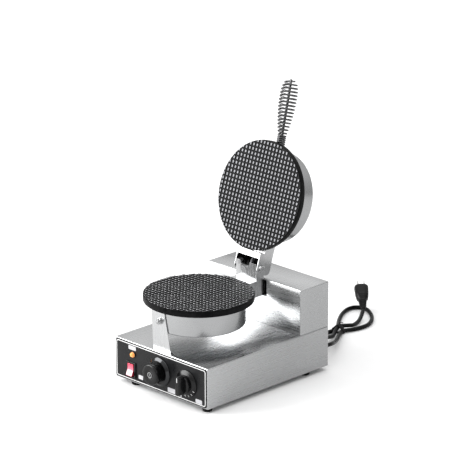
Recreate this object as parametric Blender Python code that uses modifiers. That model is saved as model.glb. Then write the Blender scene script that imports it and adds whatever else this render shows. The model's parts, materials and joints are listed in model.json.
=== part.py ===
"""Single-head waffle cone maker, a countertop baker with a hinged upper plate, shown open.

Units are metres, +Z is up, -Y is the front with the control panel and +X is the right-hand side.
The origin is on the standing surface, under the middle of the machine without its cord.
Every size that can be chosen by itself is a named value here, and what fits to it is worked out from it.
"""

from math import acos, atan2, cos, pi, radians, sin, sqrt

import bmesh
import bpy
from mathutils import Matrix, Vector
from mathutils.geometry import interpolate_bezier

# ---------------------------------------------------------------- clearances
GAP = 0.0003  # between two solids that touch on the real machine
RUNNING_GAP = 0.00025  # round a turning shank
SLIDE_GAP = 0.0008  # between the cheeks of the lid bracket and the post

# ---------------------------------------------------------------- driving sizes
CENTRE_Y = -0.0031  # the base's middle, so that the open machine is centred on the origin
BASE_WIDTH = 0.248
BASE_DEPTH = 0.324
BASE_HEIGHT = 0.080
BASE_WALL = 0.0012
SHEET_BEND = 0.0018  # outer radius of a folded edge
FOOT_HEIGHT = 0.010
FOOT_RADIUS = 0.0108
FOOT_SHAPE = [(0.92, 1.0), (1.0, 0.8), (0.84, 0.1), (0.76, 0.0)]  # shares of its radius and height
FOOT_LEFT_INSET = 0.041  # the feet stand on a rectangle that is off the base's middle
FOOT_RIGHT_INSET = 0.017
FOOT_FRONT_INSET = 0.017
FOOT_REAR_INSET = 0.047
BOTTOM_PLATE_SHEET = 0.0015
VENT_LENGTH = 0.060
VENT_WIDTH = 0.004
VENT_PITCH = 0.012
VENTS = 6
WIRE_HOLE_WIDTH = 0.032  # in the base's top, under the hinge support
WIRE_HOLE_LENGTH = 0.026
WIRE_HOLE_SETBACK = 0.014  # from the rear housing's front

REAR_DEPTH = 0.077
REAR_HEIGHT = 0.0905

PLATE_RADIUS = 0.105
PLATE_THICKNESS = 0.0138
PLATE_TOP = 0.184
PLATE_Y = CENTRE_Y - 0.0614
PLATE_CHAMFER = 0.0015
BAKING_GAP = 0.002  # between the two plates when the lid is shut

DRUM_RADIUS = 0.0883
DRUM_SHEET = 0.001
LOWER_DRUM_HEIGHT = 0.0446
UPPER_DRUM_HEIGHT = 0.0427
DRUM_EDGE = 0.0015  # rounding where the upper drum's wall meets its lid
DRUM_LIP = 0.008  # width of the flange that holds the lower cover
COVER_SHEET = 0.0012

HEATER_RING_RADIUS = 0.060
HEATER_TUBE_RADIUS = 0.004
HEATER_OPENING = radians(24)
HEATER_TAIL = 0.014
WOOL_THICKNESS = 0.026
WOOL_CLEARANCE = 0.0015
SENSOR_RADIUS = 0.003
SENSOR_LENGTH = 0.060
SENSOR_SETBACK = 0.010  # in front of the plate's middle

HINGE_Y = CENTRE_Y + 0.0738
HINGE_Z = 0.2043
OPEN_ANGLE = radians(107.5)

BRACKET_SHEET = 0.0015
POST_HALF_WIDTH = 0.0274
POST_FRONT_Y = CENTRE_Y + 0.0640
POST_TOP = 0.2135
POST_BOTTOM = 0.148
POST_LEDGE_Z = 0.180
POST_REACH = 0.040  # how far the post runs into the rear housing
POST_HEAD_RADIUS = 0.0100
NOTCH_RADIUS = 0.012
NOTCH_X = -0.0033
POST_SLOT_GAP = 0.0066  # beside the post, in the rear housing's front
POST_SLOT_DROP = 0.0015  # under the post
DRUM_JOIN = 0.9  # where the brackets' blanks start, as a share of the drum's radius
PLATE_LIFT = 0.0007  # between the lower plate and the post's shelf
POST_LEDGE_GAP = 0.0025  # between the lower plate's edge and the post's ledge
HOUSING_GAP = 0.001  # between the post and the rear housing's top
SHANK_RADIUS = 0.004
BOLT_HEAD_RADIUS = 0.0072
BOLT_HEAD_HEIGHT = 0.0045
BOLT_HEAD_SIDES = 24
BOLT_CHAMFER = 0.0008
BOLT_END = 0.001  # how far a shank stands out of its nut
PIVOT_NUT_SIZE = 0.0130
PIVOT_NUT_HEIGHT = 0.005

CHEEK_REACH = 0.0128  # past the hinge axis
CHEEK_FRONT = 0.008  # web's height over the upper plate's face
CHEEK_BACK = 0.045
WEB_STEP_GAP = 0.0017  # between the upper plate's edge and where the web steps down
WEB_END = 0.0105
WEB_HIGH = 0.020
CHEEK_CORNER = 0.009

CONDUIT_RADIUS = 0.0042
CONDUIT_HEIGHT = 0.035  # over the upper plate's face
CONDUIT_X = -0.0033
CONDUIT_LEAD = 0.002  # straight stretch at each end
CONDUIT_BEND = 0.016
FERRULE_RADIUS = 0.0066
FERRULE_LENGTH = 0.008
SOCKET_LENGTH = 0.012
SOCKET_TOP = 0.186
SOCKET_SETBACK = 0.009  # from the post's front sheet to the socket's middle

HANDLE_HEIGHT = 0.0315  # over the upper plate's face, at the drum
HANDLE_DROOP = radians(4.5)
HANDLE_LENGTH = 0.137  # from the drum's wall to the rod's tip
HANDLE_ROD_RADIUS = 0.0027
HANDLE_ROD_CHAMFER = 0.0006
HANDLE_NUT_SIZE = 0.0175
HANDLE_NUT_HEIGHT = 0.006
COIL_WIRE_RADIUS = 0.0017
NECK_LENGTH = 0.021
NECK_PITCH = 0.0038
NECK_RADIUS = 0.0072  # mean radius of the coil where it is wound close
GRIP_PITCH = 0.0067
GRIP_RADIUS = 0.0158  # widest mean radius of the coil
GRIP_TIP_RADIUS = 0.0048
GRIP_PEAK = 0.68  # where the coil is widest, as a share of the grip's length
GRIP_ROUNDNESS = 2.5  # how squarely the coil closes at its tip
COIL_STEPS = 9  # points in one turn

SUPPORT_SHEET = 0.002
SUPPORT_WIDTH = 0.064
SUPPORT_HOLE_WIDTH = 0.024  # for the wires
SUPPORT_HOLE_LENGTH = 0.018
SUPPORT_HOLE_SETBACK = 0.012

# front bracket: a tapered sheet in front of the lower drum
STAY_SHEET = 0.0015
STAY_GAP = 0.0004
STAY_TOP = 0.1685
STAY_LEFT_TOP = -0.034
STAY_RIGHT_TOP = -0.0003
STAY_LEFT_FOOT = -0.030
STAY_RIGHT_FOOT = 0.017
STAY_CORNER = 0.008
STAY_FOOT = 0.014
STAY_SLOT_SIDE = 0.0075  # slot left open beside the bracket
STUD_X = -0.011
STUD_Z = 0.147
STUD_RADIUS = 0.0029
STUD_LENGTH = 0.0125
STUD_CHAMFER = 0.0005
STAY_WASHER_RADIUS = 0.0070
STAY_WASHER_SHEET = 0.0012
STAY_NUT_SIZE = 0.010
STAY_NUT_HEIGHT = 0.005

# control panel and what is on it
PANEL_WIDTH = 0.2440
PANEL_HEIGHT = 0.0760
PANEL_SHEET = 0.001
PANEL_CORNER = 0.005
LAMP_X = -0.0735
LAMP_Z = 0.0662
LAMP_RADIUS = 0.0052
LAMP_FLANGE_RADIUS = 0.0066
LAMP_FLANGE_HEIGHT = 0.0014
LAMP_LENS_WALL = 0.001
LAMP_BARREL_RADIUS = 0.0046
LAMP_BARREL_LENGTH = 0.018
SWITCH_X = -0.0790
SWITCH_Z = 0.0345
SWITCH_WIDTH = 0.0250
SWITCH_HEIGHT = 0.0310
SWITCH_BEZEL = 0.0020
SWITCH_WALL = 0.0024
SWITCH_DEPTH = 0.026
SWITCH_POCKET = 0.0085
SWITCH_CORNER = 0.0005
ROCKER_TILT = radians(12)
ROCKER_PEAK = 0.0055
ROCKER_WAIST = 0.0030
ROCKER_END_GAP = 0.0013
ROCKER_SIDE_GAP = 0.0004
ROCKER_BACK = 0.0045  # how far it runs behind its axis
ROCKER_BACK_SHARE = 0.6  # its back's height, as a share of its front's
ROCKER_EDGE = 0.0005
DIAL_X = -0.0020
DIAL_Z = 0.0515
TIMER_X = 0.0705
TIMER_Z = 0.0480
SPINDLE_RADIUS = 0.003
SPINDLE_REACH = 0.0105  # past the panel
KNOB_BORE = 0.0058
DIAL_SKIRT_RADIUS = 0.0285
DIAL_SKIRT_HEIGHT = 0.0055
DIAL_SKIRT_SLOPE = 0.0030
SKIRT_EDGE = 0.3  # height of a skirt's upright edge, as a share of the skirt's
DIAL_CAP_RADIUS = 0.0203
DIAL_NECK_RADIUS = 0.0180
DIAL_CAP_HEIGHT = 0.0200
DIAL_CAP_CHAMFER = 0.0015
TIMER_SKIRT_RADIUS = 0.0265
TIMER_SKIRT_HEIGHT = 0.0050
TIMER_SKIRT_SLOPE = 0.0035
TIMER_HUB_RADIUS = 0.0165
TIMER_HUB_HEIGHT = 0.0070
TIMER_GRIP_WIDTH = 0.0125
TIMER_GRIP_LENGTH = 0.0380
TIMER_GRIP_HEIGHT = 0.0130
TIMER_GRIP_ROUNDING = 0.45  # of its width
TIMER_HUB_CHAMFER = 0.001
THERMOSTAT_RADIUS = 0.018
THERMOSTAT_DEPTH = 0.030
TIMER_BODY_WIDTH = 0.045
TIMER_BODY_DEPTH = 0.035
TERMINAL_BLOCK = (0.050, 0.020, 0.016)
TERMINAL_SETBACK = 0.060  # from the back wall to the block's far side

# mains cord
CORD_DIAMETER = 0.008
GLAND_X = 0.085
GLAND_Z = 0.030
GLAND_FLANGE_RADIUS = 0.0105
GLAND_THREAD_RADIUS = 0.0075
GLAND_NUT_RADIUS = 0.0100
GLAND_LENGTH = 0.036
GLAND_TIP_WALL = 0.0012
GLAND_ROOT_WALL = 0.0034
GLAND_FLANGE_HEIGHT = 0.0030
GLAND_SLOPE = 0.001
GLAND_ROOT_HEIGHT = 0.006
GLAND_NUT_HEIGHT = 0.005
HANK_HALF_WIDTH = 0.052
HANK_HEIGHT = 0.0080
HANK_TAPER = 0.72  # its hidden end's width, as a share of its far end's
HANK_NEAR = Vector((0.001, 0.2265))
HANK_FAR = Vector((-0.027, 0.4065))
TIE_PLACE = Vector((-0.0005, 0.3210))
TIE_WIDTH = 0.010
TIE_LENGTH = 0.022
TIE_SHEET = 0.002
PLUG_START = Vector((-0.031, 0.4265, 0.0134))
PLUG_HEADING = radians(137)
PLUG_TILT = radians(20)
PLUG_RELIEF_LENGTH = 0.028
PLUG_BODY_LENGTH = 0.040
PLUG_BODY_WIDTH = 0.0290
PLUG_BODY_THICKNESS = 0.0235
PLUG_NECK_WIDTH = 0.0155
PLUG_SLEEVE_WALL = 0.0008
PLUG_ROUNDING = 0.42  # of its thinner side
BLADE_LENGTH = 0.0175
BLADE_WIDTH = 0.0063
BLADE_THICKNESS = 0.0015
BLADE_SPACING = 0.0127
BLADE_OFFSET = -0.003  # from the plug's middle
GROUND_PIN_RADIUS = 0.0024
GROUND_PIN_OFFSET = 0.0074
GROUND_PIN_EXTRA = 0.003  # how much longer it is than a blade
GROUND_PIN_CHAMFER = 0.0008

# ---------------------------------------------------------------- worked-out places
BASE_BOTTOM = FOOT_HEIGHT
BASE_TOP = BASE_BOTTOM + BASE_HEIGHT
FRONT_Y = CENTRE_Y - BASE_DEPTH / 2
BACK_Y = CENTRE_Y + BASE_DEPTH / 2
REAR_FRONT_Y = BACK_Y - REAR_DEPTH
REAR_TOP = BASE_TOP + REAR_HEIGHT
WALL_FRONT_Y = FRONT_Y + PANEL_SHEET + GAP  # the folded front wall, behind the panel
WALL_INNER_Y = WALL_FRONT_Y + BASE_WALL
PLATE_BOTTOM = PLATE_TOP - PLATE_THICKNESS
DRUM_TOP = PLATE_BOTTOM - GAP
DRUM_BOTTOM = PLATE_BOTTOM - LOWER_DRUM_HEIGHT
LID_FACE = PLATE_TOP + BAKING_GAP  # the upper plate's face with the lid shut
LID_BACK = LID_FACE + PLATE_THICKNESS
PANEL_MIDDLE_Z = BASE_BOTTOM + BASE_HEIGHT / 2
CHEEK_INNER_X = POST_HALF_WIDTH + SLIDE_GAP
CHEEK_OUTER_X = CHEEK_INNER_X + BRACKET_SHEET
POST_BACK_Y = REAR_FRONT_Y + POST_REACH
STAY_BACK_Y = PLATE_Y - DRUM_RADIUS - STAY_GAP
STAY_FRONT_Y = STAY_BACK_Y - STAY_SHEET
CORD_RADIUS = CORD_DIAMETER / 2
GLAND_TIP_Y = BACK_Y + GLAND_LENGTH
CUT_MARGIN = 0.002  # how far a cutter runs past what it cuts

# The cord's own route from the gland to the hank, chosen by hand.
CORD_ROUTE = [
    (GLAND_X, GLAND_TIP_Y + GAP, GLAND_Z),
    (GLAND_X, GLAND_TIP_Y + 0.009, GLAND_Z - 0.0004),
    (GLAND_X - 0.0035, GLAND_TIP_Y + 0.019, GLAND_Z - 0.0024),
    (GLAND_X - 0.0100, GLAND_TIP_Y + 0.030, GLAND_Z - 0.0058),
    (GLAND_X - 0.0175, GLAND_TIP_Y + 0.0415, GLAND_Z - 0.0095),
    (GLAND_X - 0.0255, GLAND_TIP_Y + 0.053, GLAND_Z - 0.0130),
    (GLAND_X - 0.0340, GLAND_TIP_Y + 0.065, GLAND_Z - 0.0160),
    (GLAND_X - 0.0425, GLAND_TIP_Y + 0.077, GLAND_Z - 0.0174),
    (GLAND_X - 0.0500, GLAND_TIP_Y + 0.0875, HANK_HEIGHT + CORD_RADIUS + GAP),
]


# ---------------------------------------------------------------- scene and materials
def clear_scene():
    for obj in list(bpy.data.objects):
        bpy.data.objects.remove(obj, do_unlink=True)
    for collection in list(bpy.data.collections):
        bpy.data.collections.remove(collection)


def new_collection(name, hidden=False):
    collection = bpy.data.collections.new(name)
    bpy.context.scene.collection.children.link(collection)
    collection.hide_render = hidden
    return collection


def new_material(name, colour, roughness, metallic=0.0, alpha=1.0):
    material = bpy.data.materials.new(name)
    material.use_nodes = True
    shader = material.node_tree.nodes["Principled BSDF"]
    shader.inputs["Base Color"].default_value = (*colour, 1.0)
    shader.inputs["Roughness"].default_value = roughness
    shader.inputs["Metallic"].default_value = metallic
    shader.inputs["Alpha"].default_value = alpha
    material.diffuse_color = (*colour, alpha)
    return material


clear_scene()
PARTS = new_collection("waffle_cone_maker")
CUTTERS = new_collection("cutters", hidden=True)
PARENT_FRAMES = {}  # where each pivot stands before it is turned

STEEL = new_material("brushed_stainless_steel", (0.62, 0.63, 0.64), 0.28, 1.0)
BRIGHT_STEEL = new_material("bright_steel", (0.72, 0.73, 0.74), 0.18, 1.0)
SPRING_STEEL = new_material("spring_wire", (0.52, 0.52, 0.53), 0.25, 1.0)
IRON = new_material("non_stick_cast_plate", (0.035, 0.036, 0.038), 0.45, 0.3)
BLACK = new_material("black_plastic", (0.02, 0.02, 0.021), 0.4)
PANEL_BLACK = new_material("black_panel", (0.03, 0.031, 0.033), 0.35)
SILVER = new_material("silver_dial", (0.55, 0.56, 0.57), 0.3, 0.8)
RUBBER = new_material("black_rubber", (0.015, 0.015, 0.015), 0.75)
RED_LENS = new_material("red_switch", (0.85, 0.10, 0.16), 0.25)
AMBER = new_material("amber_lens", (0.95, 0.38, 0.10), 0.2)
WOOL = new_material("mineral_wool", (0.75, 0.70, 0.58), 0.95)
HEATER = new_material("heater_sheath", (0.30, 0.29, 0.28), 0.5, 0.9)
CERAMIC = new_material("white_ceramic", (0.85, 0.84, 0.80), 0.5)
CONDUIT = new_material("metal_conduit", (0.45, 0.45, 0.46), 0.35, 1.0)
CORD_PVC = new_material("cord_sheath", (0.015, 0.015, 0.016), 0.45)
BRASS = new_material("nickel_plated_brass", (0.70, 0.69, 0.64), 0.25, 1.0)


# ---------------------------------------------------------------- making objects
def link(obj, material, parent=None):
    """Puts a finished object in the model, with its material and its parent."""
    PARTS.objects.link(obj)
    obj.data.materials.append(material)
    if parent is not None:
        obj.parent = parent
        obj.matrix_parent_inverse = parent_inverse(parent)
    return obj


def parent_inverse(parent):
    return PARENT_FRAMES[parent.name].inverted()


def new_pivot(name, location):
    """An empty on a joint's axis. Its children are modelled in world places, and turn with it."""
    empty = bpy.data.objects.new(name, None)
    empty.location = location
    empty.empty_display_size = 0.02
    PARTS.objects.link(empty)
    PARENT_FRAMES[name] = Matrix.Translation(location)
    return empty


def mesh_from_bmesh(name, shape):
    bmesh.ops.recalc_face_normals(shape, faces=shape.faces)
    mesh_data = bpy.data.meshes.new(name)
    shape.to_mesh(mesh_data)
    shape.free()
    return mesh_data


def box_mesh(name, low, high, open_bottom=False):
    shape = bmesh.new()
    bmesh.ops.create_cube(shape, size=1.0)
    low, high = Vector(low), Vector(high)
    bmesh.ops.scale(shape, vec=high - low, verts=shape.verts)
    bmesh.ops.translate(shape, vec=(low + high) / 2, verts=shape.verts)
    if open_bottom:
        lowest = min(shape.faces, key=lambda face: face.calc_center_median().z)
        bmesh.ops.delete(shape, geom=[lowest], context="FACES_ONLY")
    return mesh_from_bmesh(name, shape)


def add_box(name, low, high, material, parent=None, rounding=0.0):
    obj = bpy.data.objects.new(name, box_mesh(name, low, high))
    if rounding:
        add_bevel(obj, rounding, segments=2)
    return link(obj, material, parent)


def add_bevel(obj, width, segments=2, angle=radians(40)):
    bevel = obj.modifiers.new("rounded_edges", "BEVEL")
    bevel.width = width
    bevel.segments = segments
    bevel.limit_method = "ANGLE"
    bevel.angle_limit = angle
    return bevel


def add_cutter(obj):
    CUTTERS.objects.link(obj)
    obj.hide_render = True
    obj.display_type = "WIRE"
    return obj


def cut(obj, cutter, operation="DIFFERENCE"):
    boolean = obj.modifiers.new(operation.lower() + "_" + cutter.name, "BOOLEAN")
    boolean.operation = operation
    boolean.solver = "EXACT"
    boolean.object = cutter


def box_cutter(name, low, high):
    return add_cutter(bpy.data.objects.new(name, box_mesh(name, low, high)))


def cylinder_cutter(name, centre, axis, radius, length, sides=32):
    shape = bmesh.new()
    bmesh.ops.create_cone(
        shape, cap_ends=True, segments=sides, radius1=radius, radius2=radius, depth=length
    )
    turn = Vector((0, 0, 1)).rotation_difference(Vector(axis)).to_matrix()
    bmesh.ops.rotate(shape, verts=shape.verts, matrix=turn)
    bmesh.ops.translate(shape, verts=shape.verts, vec=centre)
    return add_cutter(bpy.data.objects.new(name, mesh_from_bmesh(name, shape)))


def add_turned(name, profile, place, material, parent=None, axis=(0, 0, 1), steps=48, closed=False):
    """Turns a profile of (radius, height) points about an axis through place.

    The profile runs down its outer side, from top to bottom. A closed one makes a ring.
    """
    points = [(radius, 0.0, height) for radius, height in profile]
    count = len(points)
    edges = [(i, i + 1) for i in range(count - 1)]
    if closed:
        edges.append((count - 1, 0))
    mesh_data = bpy.data.meshes.new(name)
    mesh_data.from_pydata(points, edges, [])
    obj = bpy.data.objects.new(name, mesh_data)
    screw = obj.modifiers.new("turned", "SCREW")
    screw.axis = "Z"
    screw.angle = 2 * pi
    screw.steps = steps
    screw.render_steps = steps
    screw.use_merge_vertices = True
    screw.merge_threshold = 0.00002
    screw.use_smooth_shade = True
    turn = Vector((0, 0, 1)).rotation_difference(Vector(axis)).to_matrix().to_4x4()
    obj.matrix_world = Matrix.Translation(place) @ turn
    return link(obj, material, parent)


def hexagon(size):
    """Corners of a hexagon that is size wide across its flats."""
    corner = size / sqrt(3)
    return [(corner * cos(k * pi / 3), corner * sin(k * pi / 3)) for k in range(6)]


def circle(radius, count, centre=(0.0, 0.0)):
    return [
        (centre[0] + radius * cos(2 * pi * k / count), centre[1] + radius * sin(2 * pi * k / count))
        for k in range(count)
    ]


def arc(centre, radius, start, end, count):
    return [
        (
            centre[0] + radius * cos(start + (end - start) * k / count),
            centre[1] + radius * sin(start + (end - start) * k / count),
        )
        for k in range(count + 1)
    ]


def rounded_rectangle(width, height, radius, centre=(0.0, 0.0), count=4):
    """A rectangle's outline with round corners, anticlockwise."""
    points = []
    for k, (sx, sy) in enumerate([(1, 1), (-1, 1), (-1, -1), (1, -1)]):
        middle = (
            centre[0] + sx * (width / 2 - radius),
            centre[1] + sy * (height / 2 - radius),
        )
        points += arc(middle, radius, k * pi / 2, (k + 1) * pi / 2, count)
    return points


def rounded_corners(corners, count=4):
    """A polygon from (x, y, radius) corners. A corner whose radius is 0 stays sharp."""
    points = []
    total = len(corners)
    for k in range(total):
        here = Vector(corners[k][:2])
        radius = corners[k][2]
        if radius == 0:
            points.append(tuple(here))
            continue
        before = (Vector(corners[k - 1][:2]) - here).normalized()
        after = (Vector(corners[(k + 1) % total][:2]) - here).normalized()
        half = acos(max(-1.0, min(1.0, before.dot(after)))) / 2
        middle = here + (before + after).normalized() * radius / sin(half)
        start = here + before * radius * cos(half) / sin(half) - middle
        end = here + after * radius * cos(half) / sin(half) - middle
        first = atan2(start.y, start.x)
        sweep = (atan2(end.y, end.x) - first + pi) % (2 * pi) - pi
        points += arc(middle, radius, first, first + sweep, count)
    return points


def prism_mesh(name, outline, low, high, axis="X"):
    """Extrudes an outline between two places along an axis.

    The outline is in (Y, Z) for axis X, (X, Z) for axis Y and (X, Y) for axis Z.
    """

    def at(point, height):
        if axis == "X":
            return (height, point[0], point[1])
        if axis == "Y":
            return (point[0], height, point[1])
        return (point[0], point[1], height)

    shape = bmesh.new()
    face = shape.faces.new([shape.verts.new(at(point, low)) for point in outline])
    extruded = bmesh.ops.extrude_face_region(shape, geom=[face])
    moved = [item for item in extruded["geom"] if isinstance(item, bmesh.types.BMVert)]
    shift = Vector(at((0.0, 0.0), high)) - Vector(at((0.0, 0.0), low))
    bmesh.ops.translate(shape, vec=shift, verts=moved)
    return mesh_from_bmesh(name, shape)


def add_prism(name, outline, low, high, material, parent=None, axis="X"):
    obj = bpy.data.objects.new(name, prism_mesh(name, outline, low, high, axis))
    return link(obj, material, parent)


def prism_cutter(name, outline, low, high, axis="X"):
    return add_cutter(bpy.data.objects.new(name, prism_mesh(name, outline, low, high, axis)))


def add_sheet(name, loops, thickness, place, material, parent=None, rotation=(0.0, 0.0, 0.0)):
    """A flat sheet from a 2D curve. The first loop is the outline, and the others are holes."""
    curve = bpy.data.curves.new(name, "CURVE")
    curve.dimensions = "2D"
    curve.fill_mode = "BOTH"
    curve.extrude = thickness / 2
    for loop in loops:
        spline = curve.splines.new("POLY")
        spline.points.add(len(loop) - 1)
        for point, (x, y) in zip(spline.points, loop):
            point.co = (x, y, 0.0, 1.0)
        spline.use_cyclic_u = True
    obj = bpy.data.objects.new(name, curve)
    obj.location = place
    obj.rotation_euler = rotation
    return link(obj, material, parent)


def add_tube(name, points, radius, material, parent=None, resolution=2):
    """A round tube along a polyline, with filled ends."""
    curve = bpy.data.curves.new(name, "CURVE")
    curve.dimensions = "3D"
    curve.bevel_depth = radius
    curve.bevel_resolution = resolution
    curve.use_fill_caps = True
    spline = curve.splines.new("POLY")
    spline.points.add(len(points) - 1)
    for point, place in zip(spline.points, points):
        point.co = (*place, 1.0)
    spline.use_smooth = True
    return link(bpy.data.objects.new(name, curve), material, parent)


def smooth_route(points, steps):
    """Points along one smooth curve through the given ones, steps to each stretch."""
    places = [Vector(point) for point in points]
    tangents = []
    for k, place in enumerate(places):
        before = places[max(k - 1, 0)]
        after = places[min(k + 1, len(places) - 1)]
        tangents.append((after - before) / (2 if 0 < k < len(places) - 1 else 1))
    route = [places[0]]
    for k in range(len(places) - 1):
        start, end = places[k], places[k + 1]
        handles = start + tangents[k] / 3, end - tangents[k + 1] / 3
        route += interpolate_bezier(start, *handles, end, steps + 1)[1:]
    return route


def disc_profile(radius, low, high, chamfer=0.0):
    """A solid disc's profile, from the axis at the top to the axis at the bottom."""
    if chamfer == 0:
        return [(0.0, high), (radius, high), (radius, low), (0.0, low)]
    return [
        (0.0, high),
        (radius - chamfer, high),
        (radius, high - chamfer),
        (radius, low + chamfer),
        (radius - chamfer, low),
        (0.0, low),
    ]


# ---------------------------------------------------------------- base
def add_open_box(name, low, high, wall, material):
    """A folded sheet box that is open underneath, with its wall inside the given corners."""
    obj = bpy.data.objects.new(name, box_mesh(name, low, high, open_bottom=True))
    add_bevel(obj, SHEET_BEND)
    solid = obj.modifiers.new("sheet", "SOLIDIFY")
    solid.thickness = wall
    solid.offset = -1.0
    solid.use_even_offset = True
    return link(obj, material)


def add_base_shell():
    shell = add_open_box(
        "base_shell",
        (-BASE_WIDTH / 2, WALL_FRONT_Y, BASE_BOTTOM),
        (BASE_WIDTH / 2, BACK_Y, BASE_TOP),
        BASE_WALL,
        STEEL,
    )
    front = (WALL_FRONT_Y + WALL_INNER_Y) / 2
    through = BASE_WALL + 2 * CUT_MARGIN
    holes = [
        ("lamp_hole", LAMP_X, LAMP_Z, LAMP_BARREL_RADIUS),
        ("dial_hole", DIAL_X, DIAL_Z, SPINDLE_RADIUS),
        ("timer_hole", TIMER_X, TIMER_Z, SPINDLE_RADIUS),
    ]
    for name, x, z, radius in holes:
        cut(shell, cylinder_cutter(name, (x, front, z), (0, 1, 0), radius + GAP, through, 24))
    cut(shell, switch_cutout("switch_cutout", front - through / 2, front + through / 2))
    slot_low = (STAY_LEFT_FOOT - GAP, STAY_FRONT_Y - 2 * GAP, BASE_TOP - BASE_WALL - CUT_MARGIN)
    slot_high = (STAY_RIGHT_FOOT + STAY_SLOT_SIDE, STAY_BACK_Y + STAY_SHEET, BASE_TOP + CUT_MARGIN)
    cut(shell, box_cutter("stay_slot", slot_low, slot_high))
    wire_y = REAR_FRONT_Y + WIRE_HOLE_SETBACK
    wire_low = (-WIRE_HOLE_WIDTH / 2, wire_y, BASE_TOP - BASE_WALL - CUT_MARGIN)
    wire_high = (WIRE_HOLE_WIDTH / 2, wire_y + WIRE_HOLE_LENGTH, BASE_TOP + CUT_MARGIN)
    cut(shell, box_cutter("wire_hole", wire_low, wire_high))
    gland_place = (GLAND_X, BACK_Y - BASE_WALL / 2, GLAND_Z)
    gland_radius = GLAND_THREAD_RADIUS + GAP
    cut(shell, cylinder_cutter("gland_hole", gland_place, (0, 1, 0), gland_radius, through, 24))


def switch_cutout(name, low_y, high_y):
    half_width = SWITCH_WIDTH / 2 - SWITCH_BEZEL + GAP
    half_height = SWITCH_HEIGHT / 2 - SWITCH_BEZEL + GAP
    return box_cutter(
        name,
        (SWITCH_X - half_width, low_y, SWITCH_Z - half_height),
        (SWITCH_X + half_width, high_y, SWITCH_Z + half_height),
    )


def add_bottom_plate():
    inset = BASE_WALL + GAP
    low = BASE_BOTTOM + GAP
    outline = rounded_rectangle(
        BASE_WIDTH - 2 * inset,
        BACK_Y - WALL_FRONT_Y - 2 * inset,
        SHEET_BEND,
        count=2,
    )
    loops = [outline]
    vent_end = VENT_WIDTH / 2 - 1e-5  # a hair less than round, so that no two points meet
    for k in range(VENTS):
        y = (k - (VENTS - 1) / 2) * VENT_PITCH
        loops.append(rounded_rectangle(VENT_LENGTH, VENT_WIDTH, vent_end, (0.0, y), 3))
    middle = (0.0, (WALL_FRONT_Y + BACK_Y) / 2, low + BOTTOM_PLATE_SHEET / 2)
    add_sheet("bottom_plate", loops, BOTTOM_PLATE_SHEET, middle, STEEL)


def add_feet():
    wall = [(FOOT_RADIUS * radius, FOOT_HEIGHT * height) for radius, height in FOOT_SHAPE]
    profile = [(0.0, FOOT_HEIGHT), *wall, (0.0, 0.0)]
    rows = {"front": FRONT_Y + FOOT_FRONT_INSET, "rear": BACK_Y - FOOT_REAR_INSET}
    columns = {"left": FOOT_LEFT_INSET - BASE_WIDTH / 2, "right": BASE_WIDTH / 2 - FOOT_RIGHT_INSET}
    for row, y in rows.items():
        for column, x in columns.items():
            add_turned(f"foot_{row}_{column}", profile, (x, y, 0.0), RUBBER, steps=20)


def add_rear_housing():
    housing = add_open_box(
        "rear_housing",
        (-BASE_WIDTH / 2, REAR_FRONT_Y, BASE_TOP + GAP),
        (BASE_WIDTH / 2, BACK_Y, REAR_TOP),
        BASE_WALL,
        STEEL,
    )
    half = POST_HALF_WIDTH + POST_SLOT_GAP
    slot_low = (-half, REAR_FRONT_Y - CUT_MARGIN, POST_BOTTOM - POST_SLOT_DROP)
    slot_high = (half, REAR_FRONT_Y + 2 * CUT_MARGIN, REAR_TOP - SHEET_BEND)
    cut(housing, box_cutter("post_slot", slot_low, slot_high))


def add_hinge_support():
    """The channel inside the rear housing that carries the hinge post."""
    half = SUPPORT_WIDTH / 2
    low, high = BASE_TOP + GAP, POST_BOTTOM - GAP
    near = REAR_FRONT_Y + BASE_WALL + GAP
    far = POST_BACK_Y
    obj = bpy.data.objects.new(
        "hinge_support", box_mesh("hinge_support", (-half, near, low), (half, far, high))
    )
    link(obj, STEEL)
    hollow_low = (-half + SUPPORT_SHEET, near - CUT_MARGIN, low - CUT_MARGIN)
    hollow_high = (half - SUPPORT_SHEET, far + CUT_MARGIN, high - SUPPORT_SHEET)
    cut(obj, box_cutter("support_hollow", hollow_low, hollow_high))
    wire_y = near + SUPPORT_HOLE_SETBACK
    wire_low = (-SUPPORT_HOLE_WIDTH / 2, wire_y, high - SUPPORT_SHEET - CUT_MARGIN)
    wire_high = (SUPPORT_HOLE_WIDTH / 2, wire_y + SUPPORT_HOLE_LENGTH, high + CUT_MARGIN)
    cut(obj, box_cutter("support_wire_hole", wire_low, wire_high))


# ---------------------------------------------------------------- heads: plates, drums, heaters
def plate_profile(low, high):
    return disc_profile(PLATE_RADIUS, low, high, PLATE_CHAMFER)


def add_heater(name, height, parent):
    """A sheathed ring heater against a plate, open towards the hinge, with both tails turned in."""
    opening = HEATER_OPENING / 2
    arc_points = arc((0.0, PLATE_Y), HEATER_RING_RADIUS, pi / 2 + opening, 5 * pi / 2 - opening, 22)
    inner = HEATER_RING_RADIUS - HEATER_TAIL
    ends = [
        (inner * cos(angle), PLATE_Y + inner * sin(angle))
        for angle in (pi / 2 + opening, pi / 2 - opening)
    ]
    route = [(x, y, height) for x, y in [ends[0], *arc_points, ends[1]]]
    add_tube(name, route, HEATER_TUBE_RADIUS, HEATER, parent)


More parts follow.
